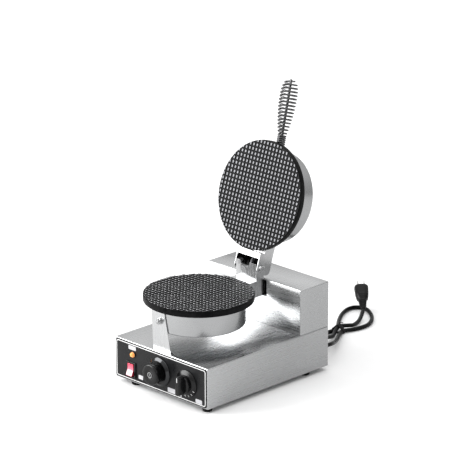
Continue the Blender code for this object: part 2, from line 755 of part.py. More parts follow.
def add_lower_head():
    middle = (0.0, PLATE_Y, 0.0)
    add_turned("lower_plate", plate_profile(PLATE_BOTTOM, PLATE_TOP), middle, IRON, steps=64)
    inner = DRUM_RADIUS - DRUM_SHEET
    drum = [
        (inner, DRUM_TOP),
        (DRUM_RADIUS, DRUM_TOP),
        (DRUM_RADIUS, DRUM_BOTTOM + DRUM_SHEET),
        (DRUM_RADIUS - DRUM_SHEET, DRUM_BOTTOM),
        (DRUM_RADIUS - DRUM_LIP, DRUM_BOTTOM),
        (DRUM_RADIUS - DRUM_LIP, DRUM_BOTTOM + DRUM_SHEET),
        (inner, DRUM_BOTTOM + DRUM_SHEET),
    ]
    add_turned("lower_housing", drum, middle, STEEL, steps=64, closed=True)
    cover_low = DRUM_BOTTOM + DRUM_SHEET + GAP
    cover_high = cover_low + COVER_SHEET
    cover = disc_profile(inner - GAP, cover_low, cover_high)
    add_turned("lower_cover", cover, middle, STEEL, steps=48)
    heater_height = PLATE_BOTTOM - GAP - HEATER_TUBE_RADIUS
    add_heater("lower_heater", heater_height, None)
    wool_high = heater_height - HEATER_TUBE_RADIUS - GAP
    wool = disc_profile(inner - WOOL_CLEARANCE, wool_high - WOOL_THICKNESS, wool_high)
    add_turned("lower_insulation", wool, middle, WOOL, steps=32)
    sensor = disc_profile(SENSOR_RADIUS, -SENSOR_LENGTH / 2, SENSOR_LENGTH / 2)
    sensor_place = (0.0, PLATE_Y - SENSOR_SETBACK, PLATE_BOTTOM - GAP - SENSOR_RADIUS)
    add_turned("temperature_sensor", sensor, sensor_place, BRASS, axis=(1, 0, 0), steps=12)


def add_upper_head(lid):
    middle = (0.0, PLATE_Y, 0.0)
    add_turned("upper_plate", plate_profile(LID_FACE, LID_BACK), middle, IRON, lid, steps=64)
    low = LID_BACK + GAP
    high = LID_BACK + UPPER_DRUM_HEIGHT
    inner = DRUM_RADIUS - DRUM_SHEET
    edge = arc((DRUM_RADIUS - DRUM_EDGE, high - DRUM_EDGE), DRUM_EDGE, pi / 2, 0.0, 4)
    drum = [(0.0, high), *edge, (DRUM_RADIUS, low), (inner, low)]
    drum += [(inner, high - DRUM_EDGE), (DRUM_RADIUS - DRUM_EDGE, high - DRUM_SHEET)]
    drum += [(0.0, high - DRUM_SHEET)]
    add_turned("upper_housing", drum, middle, STEEL, lid, steps=64)
    heater_height = LID_BACK + GAP + HEATER_TUBE_RADIUS
    add_heater("upper_heater", heater_height, lid)
    wool_low = heater_height + HEATER_TUBE_RADIUS + GAP
    wool = disc_profile(inner - WOOL_CLEARANCE, wool_low, wool_low + WOOL_THICKNESS)
    add_turned("upper_insulation", wool, middle, WOOL, lid, steps=32)


# ---------------------------------------------------------------- hinge
def add_hinge_post():
    """The folded bracket that joins the lower drum to the rear housing and carries the pivots."""
    under_plate = PLATE_BOTTOM - PLATE_LIFT
    ledge_y = PLATE_Y + PLATE_RADIUS + POST_LEDGE_GAP
    drum_y = PLATE_Y + DRUM_RADIUS * DRUM_JOIN
    head_back = HINGE_Y + POST_HEAD_RADIUS
    shoulder = REAR_TOP - BASE_WALL - HOUSING_GAP
    outline = rounded_corners(
        [
            (drum_y, POST_BOTTOM, 0),
            (POST_BACK_Y, POST_BOTTOM, 0),
            (POST_BACK_Y, shoulder, 0),
            (head_back, shoulder, 0),
            (head_back, POST_TOP, POST_HEAD_RADIUS - 0.001),
            (POST_FRONT_Y, POST_TOP, 0),
            (POST_FRONT_Y, POST_LEDGE_Z, 0),
            (ledge_y, POST_LEDGE_Z, 0),
            (ledge_y, under_plate, 0),
            (drum_y, under_plate, 0),
        ]
    )
    post = add_prism("lower_hinge_bracket", outline, -POST_HALF_WIDTH, POST_HALF_WIDTH, STEEL)
    sheet = BRACKET_SHEET
    hollow = [
        (drum_y - CUT_MARGIN, POST_BOTTOM - CUT_MARGIN),
        (POST_BACK_Y + CUT_MARGIN, POST_BOTTOM - CUT_MARGIN),
        (POST_BACK_Y + CUT_MARGIN, POST_TOP + CUT_MARGIN),
        (POST_FRONT_Y + sheet, POST_TOP + CUT_MARGIN),
        (POST_FRONT_Y + sheet, POST_LEDGE_Z - sheet),
        (ledge_y + sheet, POST_LEDGE_Z - sheet),
        (ledge_y + sheet, under_plate - sheet),
        (drum_y - CUT_MARGIN, under_plate - sheet),
    ]
    inner_x = POST_HALF_WIDTH - sheet
    cut(post, prism_cutter("post_hollow", hollow, -inner_x, inner_x))
    drum_place = (0.0, PLATE_Y, (DRUM_TOP + DRUM_BOTTOM) / 2)
    drum_radius = DRUM_RADIUS + GAP
    drum_height = 2 * LOWER_DRUM_HEIGHT
    cut(post, cylinder_cutter("post_drum_cut", drum_place, (0, 0, 1), drum_radius, drum_height, 64))
    notch_place = (NOTCH_X, POST_FRONT_Y + sheet / 2, POST_TOP)
    notch_depth = sheet + CUT_MARGIN
    cut(post, cylinder_cutter("conduit_notch", notch_place, (0, 1, 0), NOTCH_RADIUS, notch_depth, 28))
    pivot_place = (0.0, HINGE_Y, HINGE_Z)
    pivot_radius = SHANK_RADIUS + RUNNING_GAP
    width = 2 * POST_HALF_WIDTH + CUT_MARGIN
    cut(post, cylinder_cutter("post_pivots", pivot_place, (1, 0, 0), pivot_radius, width, 20))


def add_lid_bracket(lid):
    """The channel on the lid whose cheeks straddle the post. Its web steps down past the drum."""
    web_low = LID_FACE + CHEEK_FRONT
    web_high = LID_FACE + WEB_HIGH
    back = LID_FACE + CHEEK_BACK
    step_y = PLATE_Y + PLATE_RADIUS + WEB_STEP_GAP
    web_end_y = step_y + WEB_END
    end_y = HINGE_Y + CHEEK_REACH
    drum_y = PLATE_Y + DRUM_RADIUS * DRUM_JOIN
    outline = rounded_corners(
        [
            (drum_y, web_high, 0),
            (step_y, web_high, 0),
            (step_y, web_low, 0),
            (end_y, web_low, CHEEK_CORNER),
            (end_y, back, CHEEK_CORNER),
            (drum_y, back, 0),
        ]
    )
    bracket = add_prism("upper_hinge_bracket", outline, -CHEEK_OUTER_X, CHEEK_OUTER_X, STEEL, lid)
    sheet = BRACKET_SHEET
    hollow = [
        (drum_y - CUT_MARGIN, web_high + sheet),
        (step_y + sheet, web_high + sheet),
        (step_y + sheet, web_low + sheet),
        (web_end_y, web_low + sheet),
        (web_end_y, web_low - CUT_MARGIN),
        (end_y + CUT_MARGIN, web_low - CUT_MARGIN),
        (end_y + CUT_MARGIN, back + CUT_MARGIN),
        (drum_y - CUT_MARGIN, back + CUT_MARGIN),
    ]
    drum_place = (0.0, PLATE_Y, LID_BACK + UPPER_DRUM_HEIGHT / 2)
    drum_radius, drum_height = DRUM_RADIUS + GAP, 2 * UPPER_DRUM_HEIGHT
    pivot_place = (0.0, HINGE_Y, HINGE_Z)
    pivot_radius, width = SHANK_RADIUS + RUNNING_GAP, 2 * CHEEK_OUTER_X + CUT_MARGIN
    cutters = [
        prism_cutter("lid_bracket_hollow", hollow, -CHEEK_INNER_X, CHEEK_INNER_X),
        cylinder_cutter("lid_drum_cut", drum_place, (0, 0, 1), drum_radius, drum_height, 64),
        cylinder_cutter("lid_pivots", pivot_place, (1, 0, 0), pivot_radius, width, 20),
    ]
    for cutter in cutters:
        cutter.parent = lid
        cutter.matrix_parent_inverse = parent_inverse(lid)
        cut(bracket, cutter)


def add_pivot_bolts():
    """A short shouldered bolt on each side, with its nut inside the post."""
    head_start = CHEEK_OUTER_X + GAP
    nut_start = POST_HALF_WIDTH - BRACKET_SHEET - GAP
    shank_end = nut_start - PIVOT_NUT_HEIGHT - BOLT_END
    bolt = [
        (0.0, head_start + BOLT_HEAD_HEIGHT),
        (BOLT_HEAD_RADIUS - BOLT_CHAMFER, head_start + BOLT_HEAD_HEIGHT),
        (BOLT_HEAD_RADIUS, head_start + BOLT_HEAD_HEIGHT - BOLT_CHAMFER),
        (BOLT_HEAD_RADIUS, head_start),
        (SHANK_RADIUS, head_start),
        (SHANK_RADIUS, shank_end),
        (0.0, shank_end),
    ]
    for side, sign in (("left", -1), ("right", 1)):
        place = (0.0, HINGE_Y, HINGE_Z)
        add_turned(
            f"pivot_bolt_{side}", bolt, place, BRIGHT_STEEL, axis=(sign, 0, 0), steps=BOLT_HEAD_SIDES
        )
        loops = [hexagon(PIVOT_NUT_SIZE), circle(SHANK_RADIUS + GAP, 20)]
        nut_x = sign * (nut_start - PIVOT_NUT_HEIGHT / 2)
        add_sheet(
            f"pivot_nut_{side}",
            loops,
            PIVOT_NUT_HEIGHT,
            (nut_x, HINGE_Y, HINGE_Z),
            BRIGHT_STEEL,
            rotation=(0.0, pi / 2, 0.0),
        )


def add_conduit(lid):
    """The flexible conduit that takes the upper heater's wires down into the post."""
    ferrule_start = PLATE_Y + sqrt((DRUM_RADIUS + GAP) ** 2 - CONDUIT_X**2) + GAP
    ferrule_end = ferrule_start + FERRULE_LENGTH
    height = LID_FACE + CONDUIT_HEIGHT
    ferrule = disc_profile(FERRULE_RADIUS, 0.0, FERRULE_LENGTH)
    ferrule_place = (CONDUIT_X, ferrule_start, height)
    add_turned("conduit_ferrule", ferrule, ferrule_place, BRASS, lid, axis=(0, 1, 0), steps=20)
    socket_y = POST_FRONT_Y + BRACKET_SHEET + SOCKET_SETBACK
    socket = disc_profile(FERRULE_RADIUS, SOCKET_TOP - SOCKET_LENGTH, SOCKET_TOP)
    add_turned("conduit_socket", socket, (CONDUIT_X, socket_y, 0.0), BRASS, steps=20)
    opened = Matrix.Rotation(-OPEN_ANGLE, 4, "X")
    hinge = Vector((0.0, HINGE_Y, HINGE_Z))

    def when_open(place):
        return hinge + opened @ (Vector(place) - hinge)

    first = when_open((CONDUIT_X, ferrule_end + GAP, height))
    start = when_open((CONDUIT_X, ferrule_end + GAP + CONDUIT_LEAD, height))
    leaving = when_open((CONDUIT_X, ferrule_end + CONDUIT_BEND, height))
    last = Vector((CONDUIT_X, socket_y, SOCKET_TOP + GAP))
    end = last + Vector((0.0, 0.0, CONDUIT_LEAD))
    arriving = last + Vector((0.0, 0.0, CONDUIT_BEND))
    route = [first, *interpolate_bezier(start, leaving, arriving, end, 12), last]
    add_tube("conduit", route, CONDUIT_RADIUS, CONDUIT)


# ---------------------------------------------------------------- handle
def handle_frame():
    """The handle's own axes with the lid shut: its start on the drum, and the way it points."""
    nut_tilt = HANDLE_NUT_SIZE / sqrt(3) * sin(HANDLE_DROOP)  # its low corner leans to the drum
    start = Vector((0.0, PLATE_Y - DRUM_RADIUS - GAP - nut_tilt, LID_FACE + HANDLE_HEIGHT))
    return start, Vector((0.0, -cos(HANDLE_DROOP), -sin(HANDLE_DROOP)))


def grip_radius(along):
    """Mean radius of the wire coil at a share of the grip's length: it widens, then closes."""
    if along < GRIP_PEAK:
        return NECK_RADIUS + (GRIP_RADIUS - NECK_RADIUS) * sin(along / GRIP_PEAK * pi / 2)
    closing = min(1.0, (along - GRIP_PEAK) / (1 - GRIP_PEAK))
    share = (1 - closing**GRIP_ROUNDNESS) ** (1 / GRIP_ROUNDNESS)
    return GRIP_TIP_RADIUS + (GRIP_RADIUS - GRIP_TIP_RADIUS) * share


def add_handle(lid):
    start, way = handle_frame()
    nut_middle = start + way * (HANDLE_NUT_HEIGHT / 2)
    nut_loops = [hexagon(HANDLE_NUT_SIZE), circle(HANDLE_ROD_RADIUS + GAP, 16)]
    nut_turn = Vector((0, 0, 1)).rotation_difference(way).to_euler()
    add_sheet(
        "handle_nut", nut_loops, HANDLE_NUT_HEIGHT, nut_middle, BRIGHT_STEEL, lid, tuple(nut_turn)
    )
    rod = disc_profile(HANDLE_ROD_RADIUS, 0.0, HANDLE_LENGTH, HANDLE_ROD_CHAMFER)
    add_turned("handle_rod", rod, start, SPRING_STEEL, lid, axis=tuple(way), steps=16)
    neck_start = HANDLE_NUT_HEIGHT + COIL_WIRE_RADIUS + GAP
    grip_start = neck_start + NECK_LENGTH
    grip_end = HANDLE_LENGTH - 2 * COIL_WIRE_RADIUS
    grip_length = grip_end - grip_start
    neck_turns = NECK_LENGTH / NECK_PITCH
    turns = neck_turns + grip_length / GRIP_PITCH
    across = Vector((1, 0, 0))
    side = way.cross(across).normalized()
    points = []
    for k in range(int(turns * COIL_STEPS) + 1):
        turn = k / COIL_STEPS
        if turn < neck_turns:
            along = neck_start + turn * NECK_PITCH
            radius = NECK_RADIUS
        else:
            along = grip_start + (turn - neck_turns) * GRIP_PITCH
            radius = grip_radius((along - grip_start) / grip_length)
        angle = 2 * pi * turn
        points.append(start + way * along + (side * cos(angle) + across * sin(angle)) * radius)
    add_tube("handle_coil", points, COIL_WIRE_RADIUS, SPRING_STEEL, lid)


# ---------------------------------------------------------------- front bracket
def add_front_bracket():
    foot = BASE_TOP - BASE_WALL - GAP - STAY_SHEET
    outline = rounded_corners(
        [
            (STAY_LEFT_FOOT, foot, 0),
            (STAY_RIGHT_FOOT, foot, 0),
            (STAY_RIGHT_FOOT, BASE_TOP, 0),
            (STAY_RIGHT_TOP, STAY_TOP, STAY_CORNER),
            (STAY_LEFT_TOP, STAY_TOP, STAY_CORNER / 2),
            (STAY_LEFT_FOOT, BASE_TOP, 0),
        ]
    )
    stay = add_prism("front_bracket", outline, STAY_FRONT_Y, STAY_BACK_Y, STEEL, axis="Y")
    toe_low = (STAY_LEFT_FOOT, STAY_BACK_Y - STAY_SHEET / 2, foot)
    toe_high = (STAY_RIGHT_FOOT, STAY_BACK_Y + STAY_FOOT, foot + STAY_SHEET)
    cut(stay, box_cutter("stay_toe", toe_low, toe_high), "UNION")
    hole_place = (STUD_X, (STAY_FRONT_Y + STAY_BACK_Y) / 2, STUD_Z)
    through = STAY_SHEET + 2 * CUT_MARGIN
    hole = cylinder_cutter("stud_hole", hole_place, (0, 1, 0), STUD_RADIUS + GAP, through, 20)
    cut(stay, hole)
    stud_start = PLATE_Y - sqrt(DRUM_RADIUS**2 - (abs(STUD_X) - STUD_RADIUS) ** 2) - GAP
    stud = disc_profile(STUD_RADIUS, 0.0, STUD_LENGTH, STUD_CHAMFER)
    stud_place = (STUD_X, stud_start, STUD_Z)
    add_turned("bracket_stud", stud, stud_place, BRIGHT_STEEL, axis=(0, -1, 0), steps=16)
    washer_y = STAY_FRONT_Y - GAP - STAY_WASHER_SHEET / 2
    hole_outline = circle(STUD_RADIUS + GAP, 16)
    facing = (pi / 2, 0.0, 0.0)
    washer = [circle(STAY_WASHER_RADIUS, 24), hole_outline]
    place = (STUD_X, washer_y, STUD_Z)
    add_sheet("bracket_washer", washer, STAY_WASHER_SHEET, place, BRIGHT_STEEL, rotation=facing)
    nut_y = washer_y - STAY_WASHER_SHEET / 2 - GAP - STAY_NUT_HEIGHT / 2
    nut = [hexagon(STAY_NUT_SIZE), hole_outline]
    place = (STUD_X, nut_y, STUD_Z)
    add_sheet("bracket_nut", nut, STAY_NUT_HEIGHT, place, BRIGHT_STEEL, rotation=facing)


# ---------------------------------------------------------------- control panel
def add_control_panel():
    loops = [rounded_rectangle(PANEL_WIDTH, PANEL_HEIGHT, PANEL_CORNER)]
    holes = [
        (LAMP_X, LAMP_Z, LAMP_BARREL_RADIUS),
        (DIAL_X, DIAL_Z, SPINDLE_RADIUS),
        (TIMER_X, TIMER_Z, SPINDLE_RADIUS),
    ]
    for x, z, radius in holes:
        loops.append(circle(radius + GAP, 20, (x, z - PANEL_MIDDLE_Z)))
    loops.append(
        rounded_rectangle(
            SWITCH_WIDTH - 2 * SWITCH_BEZEL + 2 * GAP,
            SWITCH_HEIGHT - 2 * SWITCH_BEZEL + 2 * GAP,
            SWITCH_CORNER,
            (SWITCH_X, SWITCH_Z - PANEL_MIDDLE_Z),
            1,
        )
    )
    place = (0.0, FRONT_Y + PANEL_SHEET / 2, PANEL_MIDDLE_Z)
    add_sheet("control_panel", loops, PANEL_SHEET, place, PANEL_BLACK, rotation=(pi / 2, 0.0, 0.0))


def add_indicator():
    """The amber lamp: a barrel through the panel, with a flange, and a domed lens on it."""
    forward = (0, -1, 0)
    place = (LAMP_X, FRONT_Y - GAP, LAMP_Z)
    barrel = [
        (0.0, LAMP_FLANGE_HEIGHT),
        (LAMP_FLANGE_RADIUS, LAMP_FLANGE_HEIGHT),
        (LAMP_FLANGE_RADIUS, 0.0),
        (LAMP_BARREL_RADIUS, 0.0),
        (LAMP_BARREL_RADIUS, -LAMP_BARREL_LENGTH),
        (0.0, -LAMP_BARREL_LENGTH),
    ]
    add_turned("indicator_body", barrel, place, BLACK, axis=forward, steps=24)
    foot = LAMP_FLANGE_HEIGHT + GAP
    dome = arc((0.0, foot + LAMP_LENS_WALL), LAMP_RADIUS, pi / 2, 0.0, 5)
    lens = [*dome, (LAMP_RADIUS, foot), (0.0, foot)]
    add_turned("indicator_lens", lens, place, AMBER, axis=forward, steps=24)


def add_rocker_switch(rocker_pivot):
    half_width = SWITCH_WIDTH / 2
    half_height = SWITCH_HEIGHT / 2
    front = FRONT_Y - GAP - SWITCH_BEZEL
    low = (SWITCH_X - half_width, front, SWITCH_Z - half_height)
    high = (SWITCH_X + half_width, FRONT_Y - GAP, SWITCH_Z + half_height)
    frame = add_box("switch_frame", low, high, BLACK)
    inset = SWITCH_BEZEL
    body_low = (low[0] + inset, front + SWITCH_BEZEL / 2, low[2] + inset)
    body_high = (high[0] - inset, front + SWITCH_DEPTH, high[2] - inset)
    cut(frame, box_cutter("switch_body", body_low, body_high), "UNION")
    wall = SWITCH_WALL
    pocket_low = (low[0] + wall + inset, front - CUT_MARGIN, low[2] + wall)
    pocket_high = (high[0] - wall - inset, front + SWITCH_POCKET, high[2] - wall)
    cut(frame, box_cutter("switch_pocket", pocket_low, pocket_high))
    reach = half_height - wall - ROCKER_END_GAP
    back_reach = reach * ROCKER_BACK_SHARE
    outline = [
        (-ROCKER_PEAK, reach),
        (-ROCKER_WAIST, 0.0),
        (-ROCKER_PEAK, -reach),
        (-ROCKER_EDGE, ROCKER_EDGE - reach),
        (ROCKER_BACK, -back_reach),
        (ROCKER_BACK, back_reach),
        (-ROCKER_EDGE, reach - ROCKER_EDGE),
    ]
    pivot_y, pivot_z = rocker_place()[1:]
    outline = [(pivot_y + y, pivot_z + z) for y, z in outline]
    left, right = pocket_low[0] + ROCKER_SIDE_GAP, pocket_high[0] - ROCKER_SIDE_GAP
    add_prism("rocker", outline, left, right, RED_LENS, rocker_pivot)


def rocker_place():
    return (SWITCH_X, FRONT_Y - GAP, SWITCH_Z)


def add_dial(name, x, z, pivot, skirt, add_knob):
    """A spindle, a skirt round it and the knob on top, all turning about one axis."""
    forward = (0, -1, 0)
    spindle_length = SPINDLE_REACH + WALL_INNER_Y - FRONT_Y
    spindle_place = (x, WALL_INNER_Y, z)
    spindle = disc_profile(SPINDLE_RADIUS, 0.0, spindle_length)
    add_turned(f"{name}_shaft", spindle, spindle_place, BRIGHT_STEEL, pivot, forward, steps=16)
    skirt_radius, skirt_height, slope = skirt
    bore = SPINDLE_RADIUS + GAP
    ring = [
        (bore, skirt_height),
        (skirt_radius - slope, skirt_height),
        (skirt_radius, skirt_height * SKIRT_EDGE),
        (skirt_radius, 0.0),
        (bore, 0.0),
    ]
    place = (x, FRONT_Y - 2 * GAP, z)
    add_turned(f"{name}_skirt", ring, place, SILVER, pivot, forward, steps=40, closed=True)
    add_knob(place[1] - skirt_height - GAP)


def bored(profile):
    """Adds a blind hole for the spindle to a solid profile that ends on the axis at height 0."""
    bore = SPINDLE_RADIUS + GAP
    return [*profile[:-1], (bore, 0.0), (bore, KNOB_BORE), (0.0, KNOB_BORE)]


def add_temperature_dial(pivot):
    def knob(foot_y):
        profile = [
            (0.0, DIAL_CAP_HEIGHT),
            (DIAL_CAP_RADIUS - DIAL_CAP_CHAMFER, DIAL_CAP_HEIGHT),
            (DIAL_CAP_RADIUS, DIAL_CAP_HEIGHT - DIAL_CAP_CHAMFER),
            (DIAL_NECK_RADIUS, 0.0),
            (0.0, 0.0),
        ]
        place = (DIAL_X, foot_y, DIAL_Z)
        add_turned("temperature_knob", bored(profile), place, BLACK, pivot, (0, -1, 0), steps=40)

    skirt = (DIAL_SKIRT_RADIUS, DIAL_SKIRT_HEIGHT, DIAL_SKIRT_SLOPE)
    add_dial("temperature", DIAL_X, DIAL_Z, pivot, skirt, knob)


def add_timer_dial(pivot):
    def knob(foot_y):
        hub = [
            (0.0, TIMER_HUB_HEIGHT),
            (TIMER_HUB_RADIUS - TIMER_HUB_CHAMFER, TIMER_HUB_HEIGHT),
            (TIMER_HUB_RADIUS, TIMER_HUB_HEIGHT - TIMER_HUB_CHAMFER),
            (TIMER_HUB_RADIUS, 0.0),
            (0.0, 0.0),
        ]
        place = (TIMER_X, foot_y, TIMER_Z)
        knob_obj = add_turned("timer_knob", bored(hub), place, BLACK, pivot, (0, -1, 0), steps=32)
        rounding = TIMER_GRIP_WIDTH * TIMER_GRIP_ROUNDING
        grip_outline = rounded_rectangle(
            TIMER_GRIP_WIDTH, TIMER_GRIP_LENGTH, rounding, (TIMER_X, TIMER_Z)
        )
        grip_low = foot_y - TIMER_HUB_HEIGHT - TIMER_GRIP_HEIGHT
        grip_high = foot_y - TIMER_HUB_HEIGHT + TIMER_HUB_CHAMFER
        grip = prism_cutter("timer_grip", grip_outline, grip_low, grip_high, "Y")
        cut(knob_obj, grip, "UNION")

    skirt = (TIMER_SKIRT_RADIUS, TIMER_SKIRT_HEIGHT, TIMER_SKIRT_SLOPE)
    add_dial("timer", TIMER_X, TIMER_Z, pivot, skirt, knob)


def add_inner_controls():
    back = WALL_INNER_Y + GAP
    body = disc_profile(THERMOSTAT_RADIUS, 0.0, THERMOSTAT_DEPTH)
    place = (DIAL_X, back, DIAL_Z)
    add_turned("thermostat_body", body, place, CERAMIC, axis=(0, 1, 0), steps=20)
    half = TIMER_BODY_WIDTH / 2
    low = (TIMER_X - half, back, TIMER_Z - half)
    high = (TIMER_X + half, back + TIMER_BODY_DEPTH, TIMER_Z + half)
    add_box("timer_body", low, high, BLACK)
    length, width, height = TERMINAL_BLOCK
    floor = BASE_BOTTOM + GAP + BOTTOM_PLATE_SHEET + GAP
    low = (-length / 2, BACK_Y - TERMINAL_SETBACK, floor)
    add_box("terminal_block", low, (length / 2, low[1] + width, floor + height), CERAMIC)


# ---------------------------------------------------------------- mains cord
def add_gland():
    """The strain relief: a thread through the back wall, its nut, a flange and a tapered sleeve."""
    inside = -(BASE_WALL + GAP)
    profile = [
        (0.0, GLAND_LENGTH),
        (CORD_RADIUS + GLAND_TIP_WALL, GLAND_LENGTH),
        (CORD_RADIUS + GLAND_ROOT_WALL, GLAND_ROOT_HEIGHT),
        (GLAND_FLANGE_RADIUS - GLAND_SLOPE, GLAND_FLANGE_HEIGHT + GLAND_SLOPE),
        (GLAND_FLANGE_RADIUS, GLAND_FLANGE_HEIGHT),
        (GLAND_FLANGE_RADIUS, GAP),
        (GLAND_THREAD_RADIUS, GAP),
        (GLAND_THREAD_RADIUS, inside),
        (GLAND_NUT_RADIUS, inside),
        (GLAND_NUT_RADIUS, inside - GLAND_NUT_HEIGHT),
        (0.0, inside - GLAND_NUT_HEIGHT),
    ]
    add_turned("cord_gland", profile, (GLAND_X, BACK_Y, GLAND_Z), BLACK, axis=(0, 1, 0), steps=24)


def hank_outline():
    """A long outline with round ends, from the hidden end of the hank to its far end."""
    way = (HANK_FAR - HANK_NEAR).normalized()
    heading = atan2(way.y, way.x)
    far = arc(HANK_FAR, HANK_HALF_WIDTH, heading - pi / 2, heading + pi / 2, 12)
    near_radius = HANK_HALF_WIDTH * HANK_TAPER
    near = arc(HANK_NEAR, near_radius, heading + pi / 2, heading + 3 * pi / 2, 10)
    return far + near


def add_cord():
    """The cord down to the standing surface, the room that its folded rest fills, and the tie."""
    route = smooth_route(CORD_ROUTE, 3)
    add_tube("power_cord", route, CORD_RADIUS, CORD_PVC)
    add_prism("cord_hank", hank_outline(), GAP, HANK_HEIGHT, CORD_PVC, axis="Z")
    way = (HANK_FAR - HANK_NEAR).normalized()
    across = Vector((-way.y, way.x))
    corners = []
    for along, side in ((-1, -1), (-1, 1), (1, 1), (1, -1)):
        corner = TIE_PLACE + way * along * TIE_WIDTH / 2 + across * side * TIE_LENGTH / 2
        corners.append((corner.x, corner.y))
    low = HANK_HEIGHT + GAP
    add_prism("cord_tie", corners, low, low + TIE_SHEET, BLACK, axis="Z")


def plug_turn():
    """Turns Z to the way that the plug points, and X to its width."""
    flat = Vector((cos(PLUG_HEADING), sin(PLUG_HEADING), 0.0))
    way = flat * cos(PLUG_TILT) + Vector((0.0, 0.0, sin(PLUG_TILT)))
    side = Vector((0.0, 0.0, 1.0)).cross(flat).normalized()
    return Matrix((side, -way.cross(side), way)).transposed()


def add_plug():
    """A three-pin plug: a moulded body with a tapered sleeve, two flat blades and a round pin."""
    turn = plug_turn()
    frame = Matrix.Translation(PLUG_START) @ turn.to_4x4()
    sleeve = CORD_DIAMETER + 2 * PLUG_SLEEVE_WALL
    sections = [  # height, width and thickness
        (0.0, sleeve, sleeve),
        (PLUG_RELIEF_LENGTH, PLUG_NECK_WIDTH, PLUG_NECK_WIDTH * 0.9),
        (PLUG_RELIEF_LENGTH + 0.004, PLUG_BODY_WIDTH * 0.72, PLUG_BODY_THICKNESS * 0.75),
        (PLUG_RELIEF_LENGTH + 0.018, PLUG_BODY_WIDTH * 0.93, PLUG_BODY_THICKNESS * 0.9),
        (PLUG_RELIEF_LENGTH + PLUG_BODY_LENGTH, PLUG_BODY_WIDTH, PLUG_BODY_THICKNESS),
    ]
    shape = bmesh.new()
    rings = []
    for height, width, thickness in sections:
        rounding = min(width, thickness) * PLUG_ROUNDING
        outline = rounded_rectangle(width, thickness, rounding, count=3)
        rings.append([shape.verts.new((x, y, height)) for x, y in outline])
    for lower, upper in zip(rings, rings[1:]):
        for k in range(len(lower)):
            after = (k + 1) % len(lower)
            shape.faces.new([lower[k], lower[after], upper[after], upper[k]])
    shape.faces.new(list(reversed(rings[0])))
    shape.faces.new(rings[-1])
    body = bpy.data.objects.new("plug_body", mesh_from_bmesh("plug_body", shape))
    body.matrix_world = frame
    link(body, CORD_PVC)
    foot = PLUG_RELIEF_LENGTH + PLUG_BODY_LENGTH + GAP
    for name, side in (("plug_blade_live", -1), ("plug_blade_neutral", 1)):
        x = side * BLADE_SPACING / 2
        low = (x - BLADE_THICKNESS / 2, BLADE_OFFSET - BLADE_WIDTH / 2, foot)
        high = (x + BLADE_THICKNESS / 2, BLADE_OFFSET + BLADE_WIDTH / 2, foot + BLADE_LENGTH)
        blade = add_box(name, low, high, BRASS)
        blade.matrix_world = frame
    pin_length = BLADE_LENGTH + GROUND_PIN_EXTRA
    pin = disc_profile(GROUND_PIN_RADIUS, 0.0, pin_length, GROUND_PIN_CHAMFER)
    pin_place = frame @ Vector((0.0, GROUND_PIN_OFFSET, foot))
    way = turn @ Vector((0.0, 0.0, 1.0))
    add_turned("plug_ground_pin", pin, pin_place, BRASS, axis=tuple(way), steps=14)


# ---------------------------------------------------------------- assembly
def build():
    lid = new_pivot("lid_pivot", (0.0, HINGE_Y, HINGE_Z))
    rocker_pivot = new_pivot("rocker_pivot", rocker_place())
    dial_pivot = new_pivot("temperature_pivot", (DIAL_X, FRONT_Y, DIAL_Z))
    timer_pivot = new_pivot("timer_pivot", (TIMER_X, FRONT_Y, TIMER_Z))
    add_base_shell()
    add_bottom_plate()
    add_feet()
    add_rear_housing()
    add_hinge_support()
    add_lower_head()
    add_upper_head(lid)
    add_hinge_post()
    add_lid_bracket(lid)
    add_pivot_bolts()
    add_conduit(lid)
    add_handle(lid)
    add_front_bracket()
    add_control_panel()
    add_indicator()
    add_rocker_switch(rocker_pivot)
    add_temperature_dial(dial_pivot)
    add_timer_dial(timer_pivot)
    add_inner_controls()
    add_gland()
    add_cord()
    add_plug()
    lid.rotation_euler.x = -OPEN_ANGLE
    rocker_pivot.rotation_euler.x = -ROCKER_TILT
    bpy.context.view_layer.update()


build()
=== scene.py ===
"""The looks of the waffle cone maker: fine geometry, materials, cord, studio light and camera."""

import json
from math import ceil, cos, hypot, pi, radians, sin, sqrt

import bmesh
import bpy
from mathutils import Matrix, Vector
from mathutils.geometry import interpolate_bezier


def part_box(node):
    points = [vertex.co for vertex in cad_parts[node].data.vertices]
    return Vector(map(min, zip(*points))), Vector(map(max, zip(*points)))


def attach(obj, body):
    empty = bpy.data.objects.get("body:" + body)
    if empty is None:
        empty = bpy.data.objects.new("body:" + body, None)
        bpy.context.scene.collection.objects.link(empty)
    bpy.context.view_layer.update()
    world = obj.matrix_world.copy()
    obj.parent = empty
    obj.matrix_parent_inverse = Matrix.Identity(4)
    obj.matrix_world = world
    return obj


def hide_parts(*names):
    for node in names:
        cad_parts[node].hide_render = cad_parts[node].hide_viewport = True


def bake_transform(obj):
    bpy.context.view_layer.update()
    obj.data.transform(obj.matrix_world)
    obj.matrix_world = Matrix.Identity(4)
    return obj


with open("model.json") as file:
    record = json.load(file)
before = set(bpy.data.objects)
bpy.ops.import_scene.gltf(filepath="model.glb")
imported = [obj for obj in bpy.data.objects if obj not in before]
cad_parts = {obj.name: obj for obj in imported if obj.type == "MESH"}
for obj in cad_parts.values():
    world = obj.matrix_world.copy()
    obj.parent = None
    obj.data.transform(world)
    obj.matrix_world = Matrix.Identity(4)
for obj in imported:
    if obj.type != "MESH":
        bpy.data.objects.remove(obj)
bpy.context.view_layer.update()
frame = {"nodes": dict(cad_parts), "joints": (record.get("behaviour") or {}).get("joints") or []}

# ---- places, read from the frame
JOINTS = {joint["name"]: joint for joint in frame["joints"]}
HINGE = Vector(JOINTS["lid_hinge"]["pos_m"])
LID_OPENING = radians(JOINTS["lid_hinge"]["range_deg"][1])
